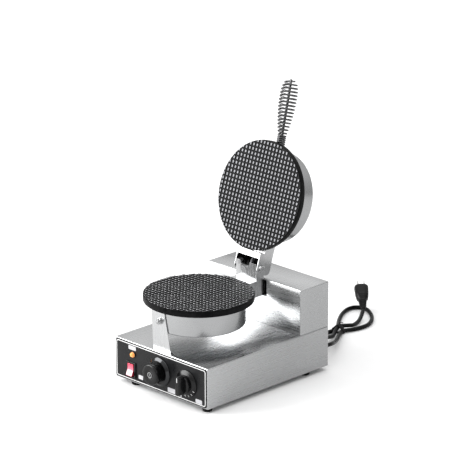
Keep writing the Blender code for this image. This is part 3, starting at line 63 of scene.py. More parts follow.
OPENED = Matrix.Translation(HINGE) @ Matrix.Rotation(-LID_OPENING, 4, "X") @ Matrix.Translation(-HINGE)
FORWARD = Vector((0.0, -1.0, 0.0))
UP = Vector((0.0, 0.0, 1.0))

PLATE_LOW, PLATE_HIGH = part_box("lower_plate")
PLATE_RADIUS = (PLATE_HIGH.x - PLATE_LOW.x) / 2
PLATE_CENTRE = (PLATE_LOW + PLATE_HIGH) / 2
PLATE_THICKNESS = PLATE_HIGH.z - PLATE_LOW.z
DRUM_LOW, DRUM_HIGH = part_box("lower_housing")
DRUM_RADIUS = (DRUM_HIGH.x - DRUM_LOW.x) / 2
PANEL_LOW, PANEL_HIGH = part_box("control_panel")
BASE_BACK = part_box("base_shell")[1].y
POST_HALF_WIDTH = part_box("lower_hinge_bracket")[1].x
BAKING_GAP = 0.002
LID_FACE = PLATE_HIGH.z + BAKING_GAP
LID_BACK = LID_FACE + PLATE_THICKNESS
GROOVE_PITCH = 0.0086
GROOVE_DEPTH = 0.0013
RIM_WIDTH = 0.0006
UPPER_DRUM_HEIGHT = 0.0427
SHEET = 0.001
CORD_DIAMETER = 0.008
CORD_RADIUS = CORD_DIAMETER / 2


# ---- material building
class Shader:
    """A Principled material whose nodes are added one at a time."""

    def __init__(self, name, colour, roughness, metallic=0.0, **sockets):
        self.material = bpy.data.materials.new(name)
        self.material.use_nodes = True
        self.tree = self.material.node_tree
        self.surface = self.tree.nodes["Principled BSDF"]
        self.set("Base Color", (*colour, 1.0))
        self.set("Roughness", roughness)
        self.set("Metallic", metallic)
        for socket, value in sockets.items():
            self.set(socket.replace("_", " "), value)

    def set(self, socket, value):
        self.surface.inputs[socket].default_value = value

    def node(self, kind, inputs=None, **settings):
        node = self.tree.nodes.new("ShaderNode" + kind)
        for name, value in settings.items():
            setattr(node, name, value)
        for socket, value in (inputs or {}).items():
            if isinstance(value, bpy.types.NodeSocket):
                self.tree.links.new(value, node.inputs[socket])
            else:
                node.inputs[socket].default_value = value
        return node

    def feed(self, socket, output):
        self.tree.links.new(output, self.surface.inputs[socket])

    def place(self, scale=(1.0, 1.0, 1.0)):
        """Object coordinates, stretched: a small number makes the pattern long that way."""
        source = self.node("TexCoord").outputs["Object"]
        return self.node("Mapping", {"Vector": source, "Scale": scale}).outputs["Vector"]

    def noise(self, scale, detail=4.0, rough=0.55, where=None, distortion=0.0):
        inputs = {"Scale": scale, "Detail": detail, "Roughness": rough, "Distortion": distortion}
        inputs["Vector"] = where or self.place()
        return self.node("TexNoise", inputs).outputs["Fac"]

    def spread(self, value, low, high, from_low=0.3, from_high=0.7):
        """Maps a pattern's values onto a range."""
        inputs = {"Value": value, "From Min": from_low, "From Max": from_high}
        inputs.update({"To Min": low, "To Max": high})
        return self.node("MapRange", inputs).outputs["Result"]

    def blend_colours(self, value, first, second, from_low=0.3, from_high=0.7):
        ramp = self.node("ValToRGB", {"Fac": self.spread(value, 0.0, 1.0, from_low, from_high)})
        ramp.color_ramp.elements[0].color = (*first, 1.0)
        ramp.color_ramp.elements[1].color = (*second, 1.0)
        return ramp.outputs["Color"]

    def bump(self, height, strength, distance, before=None):
        inputs = {"Height": height, "Strength": strength, "Distance": distance}
        if before is not None:
            inputs["Normal"] = before
        return self.node("Bump", inputs).outputs["Normal"]

    def mix(self, share, first, second):
        """Goes from a colour output to a plain colour by a share."""
        node = self.node("Mix", data_type="RGBA")
        self.tree.links.new(share, node.inputs["Factor"])
        self.tree.links.new(first, node.inputs[6])
        node.inputs[7].default_value = (*second, 1.0)
        return node.outputs[2]

    def finish(self, colour, gloss, relief):
        """Feeds a blend to the colour, a spread to the roughness and a bump to the normal."""
        self.feed("Base Color", self.blend_colours(*colour))
        self.feed("Roughness", self.spread(*gloss))
        self.feed("Normal", self.bump(*relief))
        return self.material


def scaled(colour, factor, more=0.0):
    return tuple(min(1.0, value * factor + more) for value in colour)


def brushed_metal(name, colour, roughness, grain, strength=0.1):
    """Sheet metal with fine grain: each grain value is small along the brushing, and large across it."""
    shader = Shader(name, colour, roughness, 1.0)
    fine = shader.noise(1.0, 5.0, 0.6, shader.place(grain))
    cloud = shader.noise(9.0, 3.0, 0.5)
    relief = (fine, strength, 0.00012, shader.bump(cloud, 0.05, 0.002))
    gloss = (fine, roughness - 0.05, roughness + 0.07)
    return shader.finish((cloud, scaled(colour, 0.93), colour), gloss, relief)


def turned_metal(name, colour, roughness):
    """Metal with fine rings left by turning or spinning about the vertical axis."""
    shader = Shader(name, colour, roughness, 1.0)
    fine = shader.noise(1.0, 4.0, 0.6, shader.place((12.0, 12.0, 2600.0)))
    cloud = shader.noise(14.0, 3.0, 0.5)
    gloss = (fine, roughness - 0.05, roughness + 0.06)
    return shader.finish((cloud, scaled(colour, 0.92), colour), gloss, (fine, 0.12, 0.0001))


def moulded(name, colour, roughness, grain=2600.0, strength=0.1, **sockets):
    """Moulded plastic or rubber: fine pitting, and a little unevenness in its gloss."""
    shader = Shader(name, colour, roughness, 0.0, **sockets)
    pits = shader.noise(grain, 3.0, 0.6)
    cloud = shader.noise(45.0, 4.0, 0.6)
    gloss = (cloud, roughness - 0.06, roughness + 0.08)
    return shader.finish((cloud, colour, scaled(colour, 1.25, 0.001)), gloss, (pits, strength, 0.00015))


def cast_coating(name, colour, roughness, metallic, speckle, specular=0.5):
    """A sprayed non-stick coat on cast metal, with fine speckle and wear."""
    shader = Shader(name, colour, roughness, metallic, Specular_IOR_Level=specular)
    grain = shader.noise(1900.0, 4.0, 0.7)
    wear = shader.noise(60.0, 5.0, 0.65)
    lighter = scaled(colour, 1 + speckle, 0.01 * speckle)
    gloss = (wear, roughness - 0.08, roughness + 0.1)
    return shader.finish((wear, colour, lighter, 0.35, 0.75), gloss, (grain, 0.18, 0.0002))


def wire_metal(name, colour, roughness):
    """Drawn wire: long scratches along the vertical, heat tint in patches."""
    shader = Shader(name, colour, roughness, 1.0)
    draw = shader.noise(1.0, 4.0, 0.6, shader.place((900.0, 900.0, 60.0)))
    tint = shader.noise(70.0, 4.0, 0.6)
    gloss = (draw, roughness - 0.05, roughness + 0.1)
    return shader.finish((tint, scaled(colour, 0.82), colour), gloss, (draw, 0.15, 0.0001))


def fibre(name, colour):
    """Mineral fibre: matt strands that lie mostly flat."""
    shader = Shader(name, colour, 0.95)
    strands = shader.noise(1.0, 6.0, 0.7, shader.place((260.0, 260.0, 1200.0)), 0.8)
    shader.feed("Base Color", shader.blend_colours(strands, scaled(colour, 0.7), colour))
    shader.feed("Normal", shader.bump(strands, 0.6, 0.001))
    return shader.material


def printed(name, colour):
    """Screen-printed ink: a slightly uneven edge of gloss and faint mottling."""
    shader = Shader(name, colour, 0.5)
    mottle = shader.noise(700.0, 3.0, 0.6)
    return shader.finish((mottle, scaled(colour, 0.92), colour), (mottle, 0.42, 0.58), (mottle, 0.08, 0.0001))


def red_lens(name):
    """The rocker's translucent plastic: pink above, a near-white band low down that is a painted highlight,
    and painted shade darkening its sides; it glows a little.
    """
    shader = Shader(name, (0.62, 0.02, 0.05), 0.2, Emission_Strength=0.3)
    low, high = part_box("rocker")
    split = shader.node("SeparateXYZ", {"Vector": shader.place()})
    height = shader.spread(split.outputs["Z"], 0.0, 1.0, low.z, high.z)
    ramp = shader.node("ValToRGB", {"Fac": height})
    ends = ramp.color_ramp.elements
    ends[0].position, ends[0].color = 0.06, (0.75, 0.3, 0.34, 1.0)
    ends[1].position, ends[1].color = 0.92, (0.55, 0.045, 0.085, 1.0)
    # the near-white stop at 0.28 is a painted highlight
    for position, colour in ((0.28, (0.92, 0.62, 0.64, 1.0)), (0.52, (0.8, 0.16, 0.22, 1.0))):
        ends.new(position).color = colour
    # painted shade: faces turned from the front are darkened to dark red; the glow carries the painted
    # highlight and shade too
    normal = shader.node("TexCoord").outputs["Normal"]
    front = shader.node("SeparateXYZ", {"Vector": normal}).outputs["Y"]
    side = shader.spread(front, 0.0, 1.0, -0.85, -0.45)
    colour = shader.mix(side, ramp.outputs["Color"], (0.16, 0.004, 0.012))
    cloud = shader.noise(180.0, 3.0, 0.5)
    shader.feed("Base Color", colour)
    shader.feed("Emission Color", colour)
    shader.feed("Roughness", shader.spread(cloud, 0.16, 0.28))
    shader.feed("Normal", shader.bump(cloud, 0.03, 0.0002))
    return shader.material


def amber_lens(name):
    """The indicator's faceted lens, lit from within."""
    shader = Shader(name, (0.9, 0.28, 0.05), 0.2, Emission_Strength=0.35)
    facets = shader.node("TexVoronoi", {"Vector": shader.place(), "Scale": 420.0}).outputs["Distance"]
    cloud = shader.noise(160.0, 3.0, 0.5)
    colour = shader.blend_colours(cloud, (0.85, 0.2, 0.03), (1.0, 0.5, 0.16))
    shader.feed("Base Color", colour)
    shader.feed("Emission Color", colour)
    shader.feed("Roughness", shader.spread(cloud, 0.14, 0.26))
    shader.feed("Normal", shader.bump(facets, 0.25, 0.0005))
    return shader.material


STEEL_GREY = (0.52, 0.525, 0.53)
STEEL_BASE = brushed_metal("steel_base", STEEL_GREY, 0.27, (300.0, 7.0, 300.0), 0.006)
STEEL_REAR = brushed_metal("steel_rear", STEEL_GREY, 0.27, (7.0, 300.0, 300.0), 0.006)
STEEL_BRACKET = brushed_metal("steel_bracket", (0.6, 0.605, 0.61), 0.26, (400.0, 400.0, 10.0), 0.02)
STEEL_DRUM = turned_metal("steel_drum", (0.5, 0.505, 0.51), 0.22)
STEEL_BRIGHT = turned_metal("steel_bright", (0.62, 0.625, 0.63), 0.15)
STEEL_INNER = brushed_metal("steel_galvanised", (0.42, 0.43, 0.44), 0.42, (120.0, 90.0, 120.0), 0.15)
SPRING = wire_metal("spring_wire", (0.14, 0.14, 0.143), 0.18)
COAT = cast_coating("non_stick_coat", (0.002, 0.0021, 0.0023), 0.4, 0.0, 0.8, 0.05)
# A lighter, metallic copy of the coat for the upper plate's pad tops; the grooves keep the black coat.
PADS = cast_coating("worn_pads", (0.082, 0.083, 0.087), 0.34, 0.9, 0.25)
# Painted highlight: a light grey copy of the coat on the lower plate's pad slopes, standing in for glints
# along the pad edges.
PAD_EDGE_HIGHLIGHT = cast_coating("pad_edges", (0.3, 0.302, 0.31), 0.3, 0.9, 0.25)
BLACK = moulded("black_plastic", (0.0025, 0.0025, 0.0027), 0.22, strength=0.04, Specular_IOR_Level=0.34)
BLACK_SATIN = moulded("black_satin_plastic", (0.003, 0.003, 0.0033), 0.42, Specular_IOR_Level=0.14)
PANEL = moulded("panel_foil", (0.006, 0.0062, 0.0068), 0.3, 1500.0, 0.03, Specular_IOR_Level=0.26)
SILVER = turned_metal("silver_dial", (0.52, 0.525, 0.53), 0.09)
BLACK_CHROME = turned_metal("black_chrome", (0.055, 0.056, 0.058), 0.14)
RUBBER = moulded("foot_rubber", (0.004, 0.004, 0.004), 0.72, 1400.0, 0.3, Specular_IOR_Level=0.15)
PVC = moulded("cord_sheath", (0.0015, 0.0015, 0.0016), 0.3, 1800.0, 0.05, Specular_IOR_Level=0.15)
NICKEL = turned_metal("nickel", (0.3, 0.295, 0.28), 0.22)
HOSE = wire_metal("stripwound_hose", (0.22, 0.22, 0.23), 0.3)
WOOL = fibre("mineral_wool", (0.62, 0.56, 0.42))
SHEATH = wire_metal("heater_sheath", (0.2, 0.19, 0.18), 0.45)
CERAMIC = moulded("ceramic", (0.72, 0.7, 0.65), 0.45, 900.0, 0.15)
INK = printed("white_ink", (0.8, 0.8, 0.8))
LABEL = printed("label_patch", (0.55, 0.55, 0.57))
RED = red_lens("red_lens")
AMBER = amber_lens("amber_lens")
# Painted shade: a near-black matt stand-in for the shade in recesses, holes and the lid bracket's inside.
PAINTED_SHADE = moulded("dark_recess", (0.003, 0.003, 0.003), 0.7, Specular_IOR_Level=0.2)


SLOTS = {
    "amber": (AMBER,),
    "black_plastic": (BLACK, BLACK_SATIN),
    "brass": (NICKEL,),
    "bright_steel": (STEEL_BRIGHT,),
    "cord": (PVC,),
    "panel": (PANEL,),
    "plate": (COAT,),
    "red": (RED,),
    "rubber": (RUBBER,),
    "silver": (SILVER, BLACK_CHROME),
    "spring_wire": (SPRING,),
    "steel": (STEEL_BASE, STEEL_REAR, STEEL_BRACKET, STEEL_DRUM, STEEL_INNER),
}
SLOT_OF = {look.name: slot for slot, looks in SLOTS.items() for look in looks}


# ---- geometry helpers
def link(obj, *materials):
    bpy.context.scene.collection.objects.link(obj)
    for material in materials:
        obj.data.materials.append(material)
    return obj


def mesh_of(name, shape):
    bmesh.ops.recalc_face_normals(shape, faces=shape.faces)
    data = bpy.data.meshes.new(name)
    shape.to_mesh(data)
    shape.free()
    return data


def shade(obj, angle=radians(32)):
    obj.data.shade_smooth()
    obj.data.set_sharp_from_angle(angle=angle)
    return obj


def ride(obj, body, *nodes, slot=None):
    """Puts a piece on a body, in place of these nodes and of the one that NODE_fine is named after."""
    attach(obj, body)
    if obj.name.endswith("_fine"):
        nodes = (obj.name[:-5], *nodes)
    if nodes:
        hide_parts(*nodes)
    slot = slot or SLOT_OF.get(obj.data.materials[0].name)
    return obj


def shape_mesh(name, shape, *materials):
    return shade(link(bpy.data.objects.new(name, mesh_of(name, shape)), *materials))


def ring_at(shape, turn, outline, height):
    """Vertices round an outline of (x, y), at a height along the turn's Z axis."""
    return [shape.verts.new(turn @ Vector((x, y, height))) for x, y in outline]


def skin(shape, rings, closed=False, ends=(), materials=None):
    """Joins rings with bands of quads and fills the ends.

    Materials gives the slot of each band, then of the ends.
    """
    uppers = rings[1:] + (rings[:1] if closed else [])
    for band, (lower, upper) in enumerate(zip(rings, uppers)):
        for k in range(len(lower)):
            after = (k + 1) % len(lower)
            face = shape.faces.new([lower[k], lower[after], upper[after], upper[k]])
            face.material_index = materials[band] if materials else 0
    for ring in ends:
        shape.faces.new(ring).material_index = materials[-1] if materials else 0


def revolve(shape, profile, steps, turn):
    """Adds a turned surface of (radius, height) to a bmesh. Points at radius 0 close it on the axis."""
    rings = []
    for radius, height in profile:
        on_axis = radius < 1e-7
        outline = [(0.0, 0.0)] if on_axis else arc((0.0, 0.0), radius, 0.0, 2 * pi, steps)[:-1]
        rings.append(ring_at(shape, turn, outline, height))
    for upper, lower in zip(rings, rings[1:]):
        for k in range(steps):
            after = (k + 1) % steps
            if len(upper) == 1 and len(lower) > 1:
                shape.faces.new([upper[0], lower[k], lower[after]])
            elif len(lower) == 1 and len(upper) > 1:
                shape.faces.new([upper[k], lower[0], upper[after]])
            elif len(upper) > 1:
                shape.faces.new([upper[k], lower[k], lower[after], upper[after]])


def facing(axis, place):
    """The matrix that stands the Z axis along another axis, at a place."""
    return Matrix.Translation(place) @ UP.rotation_difference(Vector(axis)).to_matrix().to_4x4()


def turned(name, profile, place, axis, material, steps=96):
    shape = bmesh.new()
    revolve(shape, profile, steps, facing(axis, place))
    return shape_mesh(name, shape, material)


def arc(centre, radius, start, end, count):
    angles = [start + (end - start) * k / count for k in range(count + 1)]
    return [(centre[0] + radius * cos(a), centre[1] + radius * sin(a)) for a in angles]


def rounded_rectangle(width, height, radius, centre=(0.0, 0.0), count=6):
    points = []
    for k, (sx, sy) in enumerate([(1, 1), (-1, 1), (-1, -1), (1, -1)]):
        middle = (centre[0] + sx * (width / 2 - radius), centre[1] + sy * (height / 2 - radius))
        points += arc(middle, radius, k * pi / 2, (k + 1) * pi / 2, count)
    return points


def prism(shape, outline, low, high, turn=Matrix.Identity(4)):
    """Adds an outline extruded from low to high along the turn's Z axis."""
    rings = [ring_at(shape, turn, outline, height) for height in (low, high)]
    skin(shape, rings, ends=rings)


def slab(name, outline, low, high, turn, material):
    """An object of one prism."""
    shape = bmesh.new()
    prism(shape, outline, low, high, turn)
    return shape_mesh(name, shape, material)


def frame_ring(shape, outer, inner, low, high, turn):
    """Adds a flat ring between two outlines that have the same number of points."""
    levels = ((outer, low), (outer, high), (inner, high), (inner, low))
    skin(shape, [ring_at(shape, turn, outline, height) for outline, height in levels], closed=True)


def loft(shape, sections, turn, rounding, count=6):
    """Adds a closed skin over rounded rectangles of (height, width, thickness)."""
    rings = []
    for height, width, thickness in sections:
        outline = rounded_rectangle(width, thickness, min(width, thickness) * rounding, count=count)
        rings.append(ring_at(shape, turn, outline, height))
    skin(shape, rings, ends=(rings[0], rings[-1]))


def tube_curve(name, points, radius, material, resolution=5):
    curve = bpy.data.curves.new(name, "CURVE")
    curve.dimensions = "3D"
    curve.bevel_depth = radius
    curve.bevel_resolution = resolution
    curve.use_fill_caps = True
    spline = curve.splines.new("POLY")
    spline.points.add(len(points) - 1)
    for point, place in zip(spline.points, points):
        point.co = (*place, 1.0)
    spline.use_smooth = True
    return link(bpy.data.objects.new(name, curve), material)


def tube_mesh(name, places, radii, material, sides):
    """A tube whose radius changes along its points, with frames carried along without twist."""
    shape = bmesh.new()
    normal = None
    rings = []
    for k, (place, radius) in enumerate(zip(places, radii)):
        way = (places[min(k + 1, len(places) - 1)] - places[max(k - 1, 0)]).normalized()
        if normal is None:
            normal = way.orthogonal().normalized()
        normal = (normal - way * normal.dot(way)).normalized()
        turn = Matrix((normal, way.cross(normal), way)).transposed()
        ring = arc((0.0, 0.0), radius, 0.0, 2 * pi, sides)[:-1]
        rings.append(ring_at(shape, Matrix.Translation(place) @ turn.to_4x4(), ring, 0.0))
    skin(shape, rings, ends=(rings[0], rings[-1]))
    return shape_mesh(name, shape, material)


def smooth_route(points, steps):
    """Points along one smooth curve through the given ones."""
    places = [Vector(point) for point in points]
    tangents = []
    for k in range(len(places)):
        before = places[max(k - 1, 0)]
        after = places[min(k + 1, len(places) - 1)]
        tangents.append((after - before) / (2 if 0 < k < len(places) - 1 else 1))
    route = [places[0]]
    for k in range(len(places) - 1):
        start, end = places[k], places[k + 1]
        leave, arrive = start + tangents[k] / 3, end - tangents[k + 1] / 3
        route += interpolate_bezier(start, leave, arrive, end, steps + 1)[1:]
    return route


def refined(node, material, width, body, segments=3):
    """A node's own shape with its flat faces made whole again and its edges rounded."""
    source = frame["nodes"][node].data
    shape = bmesh.new()
    shape.from_mesh(source)
    bmesh.ops.remove_doubles(shape, verts=shape.verts, dist=0.00001)
    bmesh.ops.dissolve_limit(shape, angle_limit=radians(1.5), verts=shape.verts, edges=shape.edges)
    obj = link(bpy.data.objects.new(node + "_fine", mesh_of(node + "_fine", shape)), material)
    shade(obj, radians(30))
    modifier = obj.modifiers.new("rounded_edges", "BEVEL")
    modifier.width = width
    modifier.segments = segments
    modifier.limit_method = "ANGLE"
    modifier.angle_limit = radians(35)
    modifier.harden_normals = True
    return ride(obj, body)


def dress(node, material):
    """Gives a kept CAD node its material."""
    for slot in frame["nodes"][node].material_slots:
        slot.material = material


def opened(obj):
    """Turns a piece that was modelled with the lid shut to where the lid is now."""
    obj.matrix_world = OPENED @ obj.matrix_world
    return obj


# ---- baking plates
def waffle_plate(name, turn, bright, slots, low_share, high_share):
    """A round plate whose face, along +Z, is a field of pads.

    The shares give each pad's foot and top as parts of the pitch. Slots says which of a pad's three
    bands and its top are bright.
    """
    shape = bmesh.new()
    field = PLATE_RADIUS - RIM_WIDTH
    bottom = -PLATE_THICKNESS
    profile = [
        (0.0, -GROOVE_DEPTH), (PLATE_RADIUS - 0.0006, -GROOVE_DEPTH),
        (PLATE_RADIUS - 0.0001, -GROOVE_DEPTH - 0.0005), (PLATE_RADIUS, -GROOVE_DEPTH - 0.0012),
        (PLATE_RADIUS, bottom + 0.0016), (PLATE_RADIUS - 0.0005, bottom + 0.0006),
        (PLATE_RADIUS - 0.0016, bottom), (0.0, bottom),
    ]
    revolve(shape, profile, 160, turn)
    body = shape_mesh(name, shape, COAT)
    pads = bmesh.new()
    halves = [[part * GROOVE_PITCH / 2 for part in share] for share in (low_share, high_share)]
    count = ceil(PLATE_RADIUS / GROOVE_PITCH)
    for i in range(-count, count):
        for j in range(-count, count):
            x, y = (i + 0.5) * GROOVE_PITCH, (j + 0.5) * GROOVE_PITCH
            if hypot(x, y) < field + GROOVE_PITCH * 0.18:
                add_pad(pads, x, y, halves, field, turn, slots)
    pad_obj = shape_mesh(name + "_pads", pads, COAT, bright)
    pad_obj.parent = body
    return body


def add_pad(shape, x, y, halves, field, turn, slots):
    """One pad, narrower at its top, and cut off where it would pass the plate's edge."""
    (low_x, low_y), (high_x, high_y) = halves
    levels = [
        (low_x, low_y, -GROOVE_DEPTH - 0.0001, field),
        (low_x * 0.4 + high_x * 0.6, low_y * 0.4 + high_y * 0.6, -0.0003, field),
        (high_x, high_y, -0.00006, field - 0.0002),
        (high_x * 0.8, high_y * 0.84, 0.0, field - 0.0006),
    ]
    rings = []
    for half_x, half_y, height, limit in levels:
        outline = []
        for px, py in rounded_rectangle(2 * half_x, 2 * half_y, min(half_x, half_y) * 0.5, (x, y), 2):
            share = min(1.0, limit / hypot(px, py))
            outline.append((px * share, py * share))
        rings.append(ring_at(shape, turn, outline, height))
    skin(shape, rings, ends=rings[-1:], materials=slots)


def build_plates():
    lower_turn = Matrix.Translation((PLATE_CENTRE.x, PLATE_CENTRE.y, PLATE_HIGH.z))
    foot, top = (0.8, 0.86), (0.66, 0.74)
    # the lower plate's second pad band carries the painted highlight
    ride(waffle_plate("lower_plate_fine", lower_turn, PAD_EDGE_HIGHLIGHT, (0, 1, 0, 0), foot, top), "base")
    flip = Matrix.Rotation(pi, 4, "X")
    upper_turn = Matrix.Translation((PLATE_CENTRE.x, PLATE_CENTRE.y, LID_FACE)) @ flip
    foot, top = (0.62, 0.8), (0.44, 0.62)
    ride(opened(waffle_plate("upper_plate_fine", upper_turn, PADS, (0, 0, 1, 1), foot, top)), "lid")


# ---- drums
def build_drums():
    low, high = DRUM_LOW.z, DRUM_HIGH.z
    radius = DRUM_RADIUS
    profile = [
        (radius - SHEET, high), (radius - 0.0002, high), (radius, high - 0.0003),
        (radius, low + 0.0022), (radius - 0.0003, low + 0.0012), (radius - 0.001, low + 0.0004),
        (radius - 0.0022, low), (radius - 0.008, low), (radius - 0.008, low + SHEET),
        (radius - 0.003, low + SHEET), (radius - SHEET, low + 0.003), (radius - SHEET, high),
    ]
    place = Vector((PLATE_CENTRE.x, PLATE_CENTRE.y, 0.0))
    ride(turned("lower_housing_fine", profile, place, UP, STEEL_DRUM, 144), "base")
    low, high = LID_BACK + 0.0003, LID_BACK + UPPER_DRUM_HEIGHT
    edge = 0.0015
    rounded = arc((radius - edge, high - edge), edge, pi / 2, 0.0, 8)
    inner = arc((radius - edge, high - edge), edge - SHEET, 0.0, pi / 2, 6)
    groove = radius * 0.62
    crown = [
        (0.0, high), (groove - 0.004, high), (groove - 0.002, high - 0.0007),
        (groove + 0.002, high - 0.0007), (groove + 0.004, high),
    ]
    profile = crown + rounded + [(radius, low), (radius - SHEET, low)] + inner + [(0.0, high - SHEET)]
    ride(opened(turned("upper_housing_fine", profile, place, UP, STEEL_DRUM, 144)), "lid")
    for k in range(3):
        head = opened(screw_head(f"lid_screw_{k}", around(0.4 * radius, k / 3 + 0.25, high), UP, 0.0035))
        ride(head, "lid")
    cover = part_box("lower_cover")[0].z
    for k in range(4):
        head = screw_head(f"cover_screw_{k}", around(0.72 * radius, k / 4 + 0.125, cover), -UP, 0.003)
        ride(head, "base")


def around(radius, share, z):
    """The place at a share of a turn round the drums' axis."""
    angle = 2 * pi * share
    return Vector((PLATE_CENTRE.x + radius * cos(angle), PLATE_CENTRE.y + radius * sin(angle), z))


def screw_head(name, place, axis, radius, height=None):
    """A pan head with a cross recess, standing on place along axis; the recess is a dark cross of painted
    shade.
    """
    height = height or radius * 0.55
    shape = bmesh.new()
    turn = facing(axis, place)
    recess = radius * 0.3
    profile = [(0.0, height * 0.45), (recess * 0.5, height * 0.45), (recess, height)]
    profile += arc((radius * 0.55, height * 0.45), radius * 0.45, pi / 2, 0.0, 5)
    profile += [(radius, 0.0), (radius, -0.0004), (0.0, -0.0004)]
    revolve(shape, [(r, min(z, height)) for r, z in profile], 20, turn)
    head = shape_mesh(name, shape, STEEL_BRIGHT)
    # painted shade: the cross recess is a near-black cross standing in the head's top
    cross = bmesh.new()
    for angle in (0.0, pi / 2):
        spun = turn @ Matrix.Rotation(angle, 4, "Z")
        prism(cross, rounded_rectangle(radius * 1.15, radius * 0.24, radius * 0.05, count=2),
              height * 0.86, height * 1.03, spun)
    slots = shape_mesh(name + "_cross", cross, PAINTED_SHADE)
    slots.parent = head
    return head


# ---- hinge, brackets and handle
def hex_nut(name, place, axis, size, height, bore, spin=0.0):
    """A hexagon nut with both ends chamfered to a circle."""
    shape = bmesh.new()
    turn = facing(axis, place) @ Matrix.Rotation(spin, 4, "Z")
    sides = 48
    corner = size / sqrt(3)

    def reach(angle):
        return size / 2 / cos((angle + pi / 6) % (pi / 3) - pi / 6)

    levels = [(bore, 0.0), (size / 2 * 0.94, 0.0), (corner, height * 0.14), (corner, height * 0.86)]
    levels += [(size / 2 * 0.94, height), (bore * 1.15, height), (bore, height * 0.92)]
    rings = []
    for limit, level in levels:
        outline = []
        for k in range(sides):
            angle = 2 * pi * k / sides
            radius = min(limit, reach(angle)) if limit > bore * 1.2 else limit
            outline.append((radius * cos(angle), radius * sin(angle)))
        rings.append(ring_at(shape, turn, outline, level))
    skin(shape, rings, closed=True)
    return shape_mesh(name, shape, STEEL_BRIGHT)


def threaded(name, place, axis, radius, length, pitch, material):
    """A stud whose thread is a row of fine ridges, with a chamfered end."""
    count = int(length / pitch)
    profile = [(0.0, length), (radius - 0.0008, length), (radius - 0.0002, length - 0.0006)]
    for k in range(count):
        top = length - 0.0008 - k * pitch
        profile.append((radius, top))
        profile.append((radius - pitch * 0.45, top - pitch / 2))
    profile += [(radius - 0.0003, 0.0), (0.0, 0.0)]
    return turned(name, profile, place, axis, material, 32)


def build_front_bracket():
    refined("front_bracket", STEEL_BRACKET, 0.0004, "base")
    low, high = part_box("bracket_nut")
    middle = (low + high) / 2
    nut = hex_nut("bracket_nut_fine", Vector((middle.x, high.y, middle.z)), FORWARD,
                  high.z - low.z, high.y - low.y, 0.0031, radians(12))
    ride(nut, "base")
    low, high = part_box("bracket_stud")
    stud = threaded("bracket_stud_fine", Vector((middle.x, high.y, middle.z)), FORWARD,
                    (high.x - low.x) / 2, high.y - low.y, 0.001, STEEL_BRIGHT)
    ride(stud, "base")
    refined("bracket_washer", STEEL_BRIGHT, 0.0002, "base")


def build_hinge():
    refined("lower_hinge_bracket", STEEL_BRACKET, 0.0004, "base")
    refined("upper_hinge_bracket", STEEL_BRACKET, 0.0004, "lid")
    for side in ("left", "right"):
        sign = 1.0 if side == "right" else -1.0
        node = f"pivot_bolt_{side}"
        low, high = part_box(node)
        head_radius = (high.z - low.z) / 2
        tip = max(abs(low.x), abs(high.x))
        shank_end = min(abs(low.x), abs(high.x))
        head = 0.0045
        shank = 0.004
        profile = [
            (0.0, tip - 0.0014), (0.0026, tip - 0.0014), (0.003, tip - 0.0002),
            (head_radius - 0.0022, tip), (head_radius - 0.0009, tip - 0.0005),
            (head_radius - 0.0002, tip - 0.0018), (head_radius, tip - head + 0.0006),
            (head_radius, tip - head), (shank, tip - head), (shank, shank_end), (0.0, shank_end),
        ]
        axis, centre = (sign, 0, 0), Vector((0.0, HINGE.y, HINGE.z))
        ride(turned(node + "_fine", profile, centre, axis, STEEL_BRIGHT, 48), "base")
        low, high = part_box(f"pivot_nut_{side}")
        start = sign * min(abs(low.x), abs(high.x))
        nut = hex_nut(f"pivot_nut_{side}_fine", Vector((start, HINGE.y, HINGE.z)), (sign, 0, 0),
                      0.013, abs(high.x - low.x), shank + 0.0002)
        ride(nut, "base")
    build_bracket_shade_sheet()
    refined("conduit_socket", NICKEL, 0.0004, "base")
    refined("conduit_ferrule", NICKEL, 0.0004, "lid")
    build_conduit()


def build_bracket_shade_sheet():
    """Dark sheets inside the lid's bracket, painted shade where its inside lies in shadow: two sides and a
    back, behind the conduit.
    """
    inner = POST_HALF_WIDTH + 0.0005
    near, far = PLATE_CENTRE.y + PLATE_RADIUS + 0.0036, HINGE.y - 0.0046
    low, high = LID_FACE + 0.01, LID_FACE + 0.0435
    shape = bmesh.new()
    lying = Matrix(((0.0, 0.0, 1.0, 0.0), (1.0, 0.0, 0.0, 0.0), (0.0, 1.0, 0.0, 0.0), (0.0, 0.0, 0.0, 1.0)))
    side = [(near, low), (far, low), (far, high), (near, high)]
    prism(shape, side, -inner - 0.0002, -inner, lying)
    prism(shape, side, inner, inner + 0.0002, lying)
    back_far = HINGE.y + 0.006
    back = [(near, high - 0.0004), (back_far, high - 0.0004), (back_far, high), (near, high)]
    prism(shape, back, -inner, inner, lying)
    # painted shade: near-black sheets where the bracket's inside lies in shadow
    ride(opened(shape_mesh("bracket_liner", shape, PAINTED_SHADE)), "lid", slot="black_plastic")


def build_conduit():
    """The stripwound hose that bends across the hinge: a smooth line with ribs along it."""
    socket_low, socket_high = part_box("conduit_socket")
    socket = (socket_low + socket_high) / 2
    end = Vector((socket.x, socket.y, socket_high.z))
    ferrule_low, ferrule_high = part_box("conduit_ferrule")
    ferrule = (ferrule_low + ferrule_high) / 2
    way = (OPENED.to_3x3() @ Vector((0.0, 1.0, 0.0))).normalized()
    start = ferrule + way * 0.0038
    bend = 0.017
    line = interpolate_bezier(start, start + way * bend, end + UP * bend, end - UP * 0.001, 200)
    radii = []
    walked = 0.0
    rib = 0.0022
    for k, place in enumerate(line):
        if k:
            walked += (place - line[k - 1]).length
        share = walked / rib % 1.0
        radii.append(0.0042 - 0.0006 * (0.5 + 0.5 * cos(2 * pi * share)) ** 2)
    hose = tube_mesh("conduit_fine", line, radii, HOSE, 24)
    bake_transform(hose)
    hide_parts("conduit")


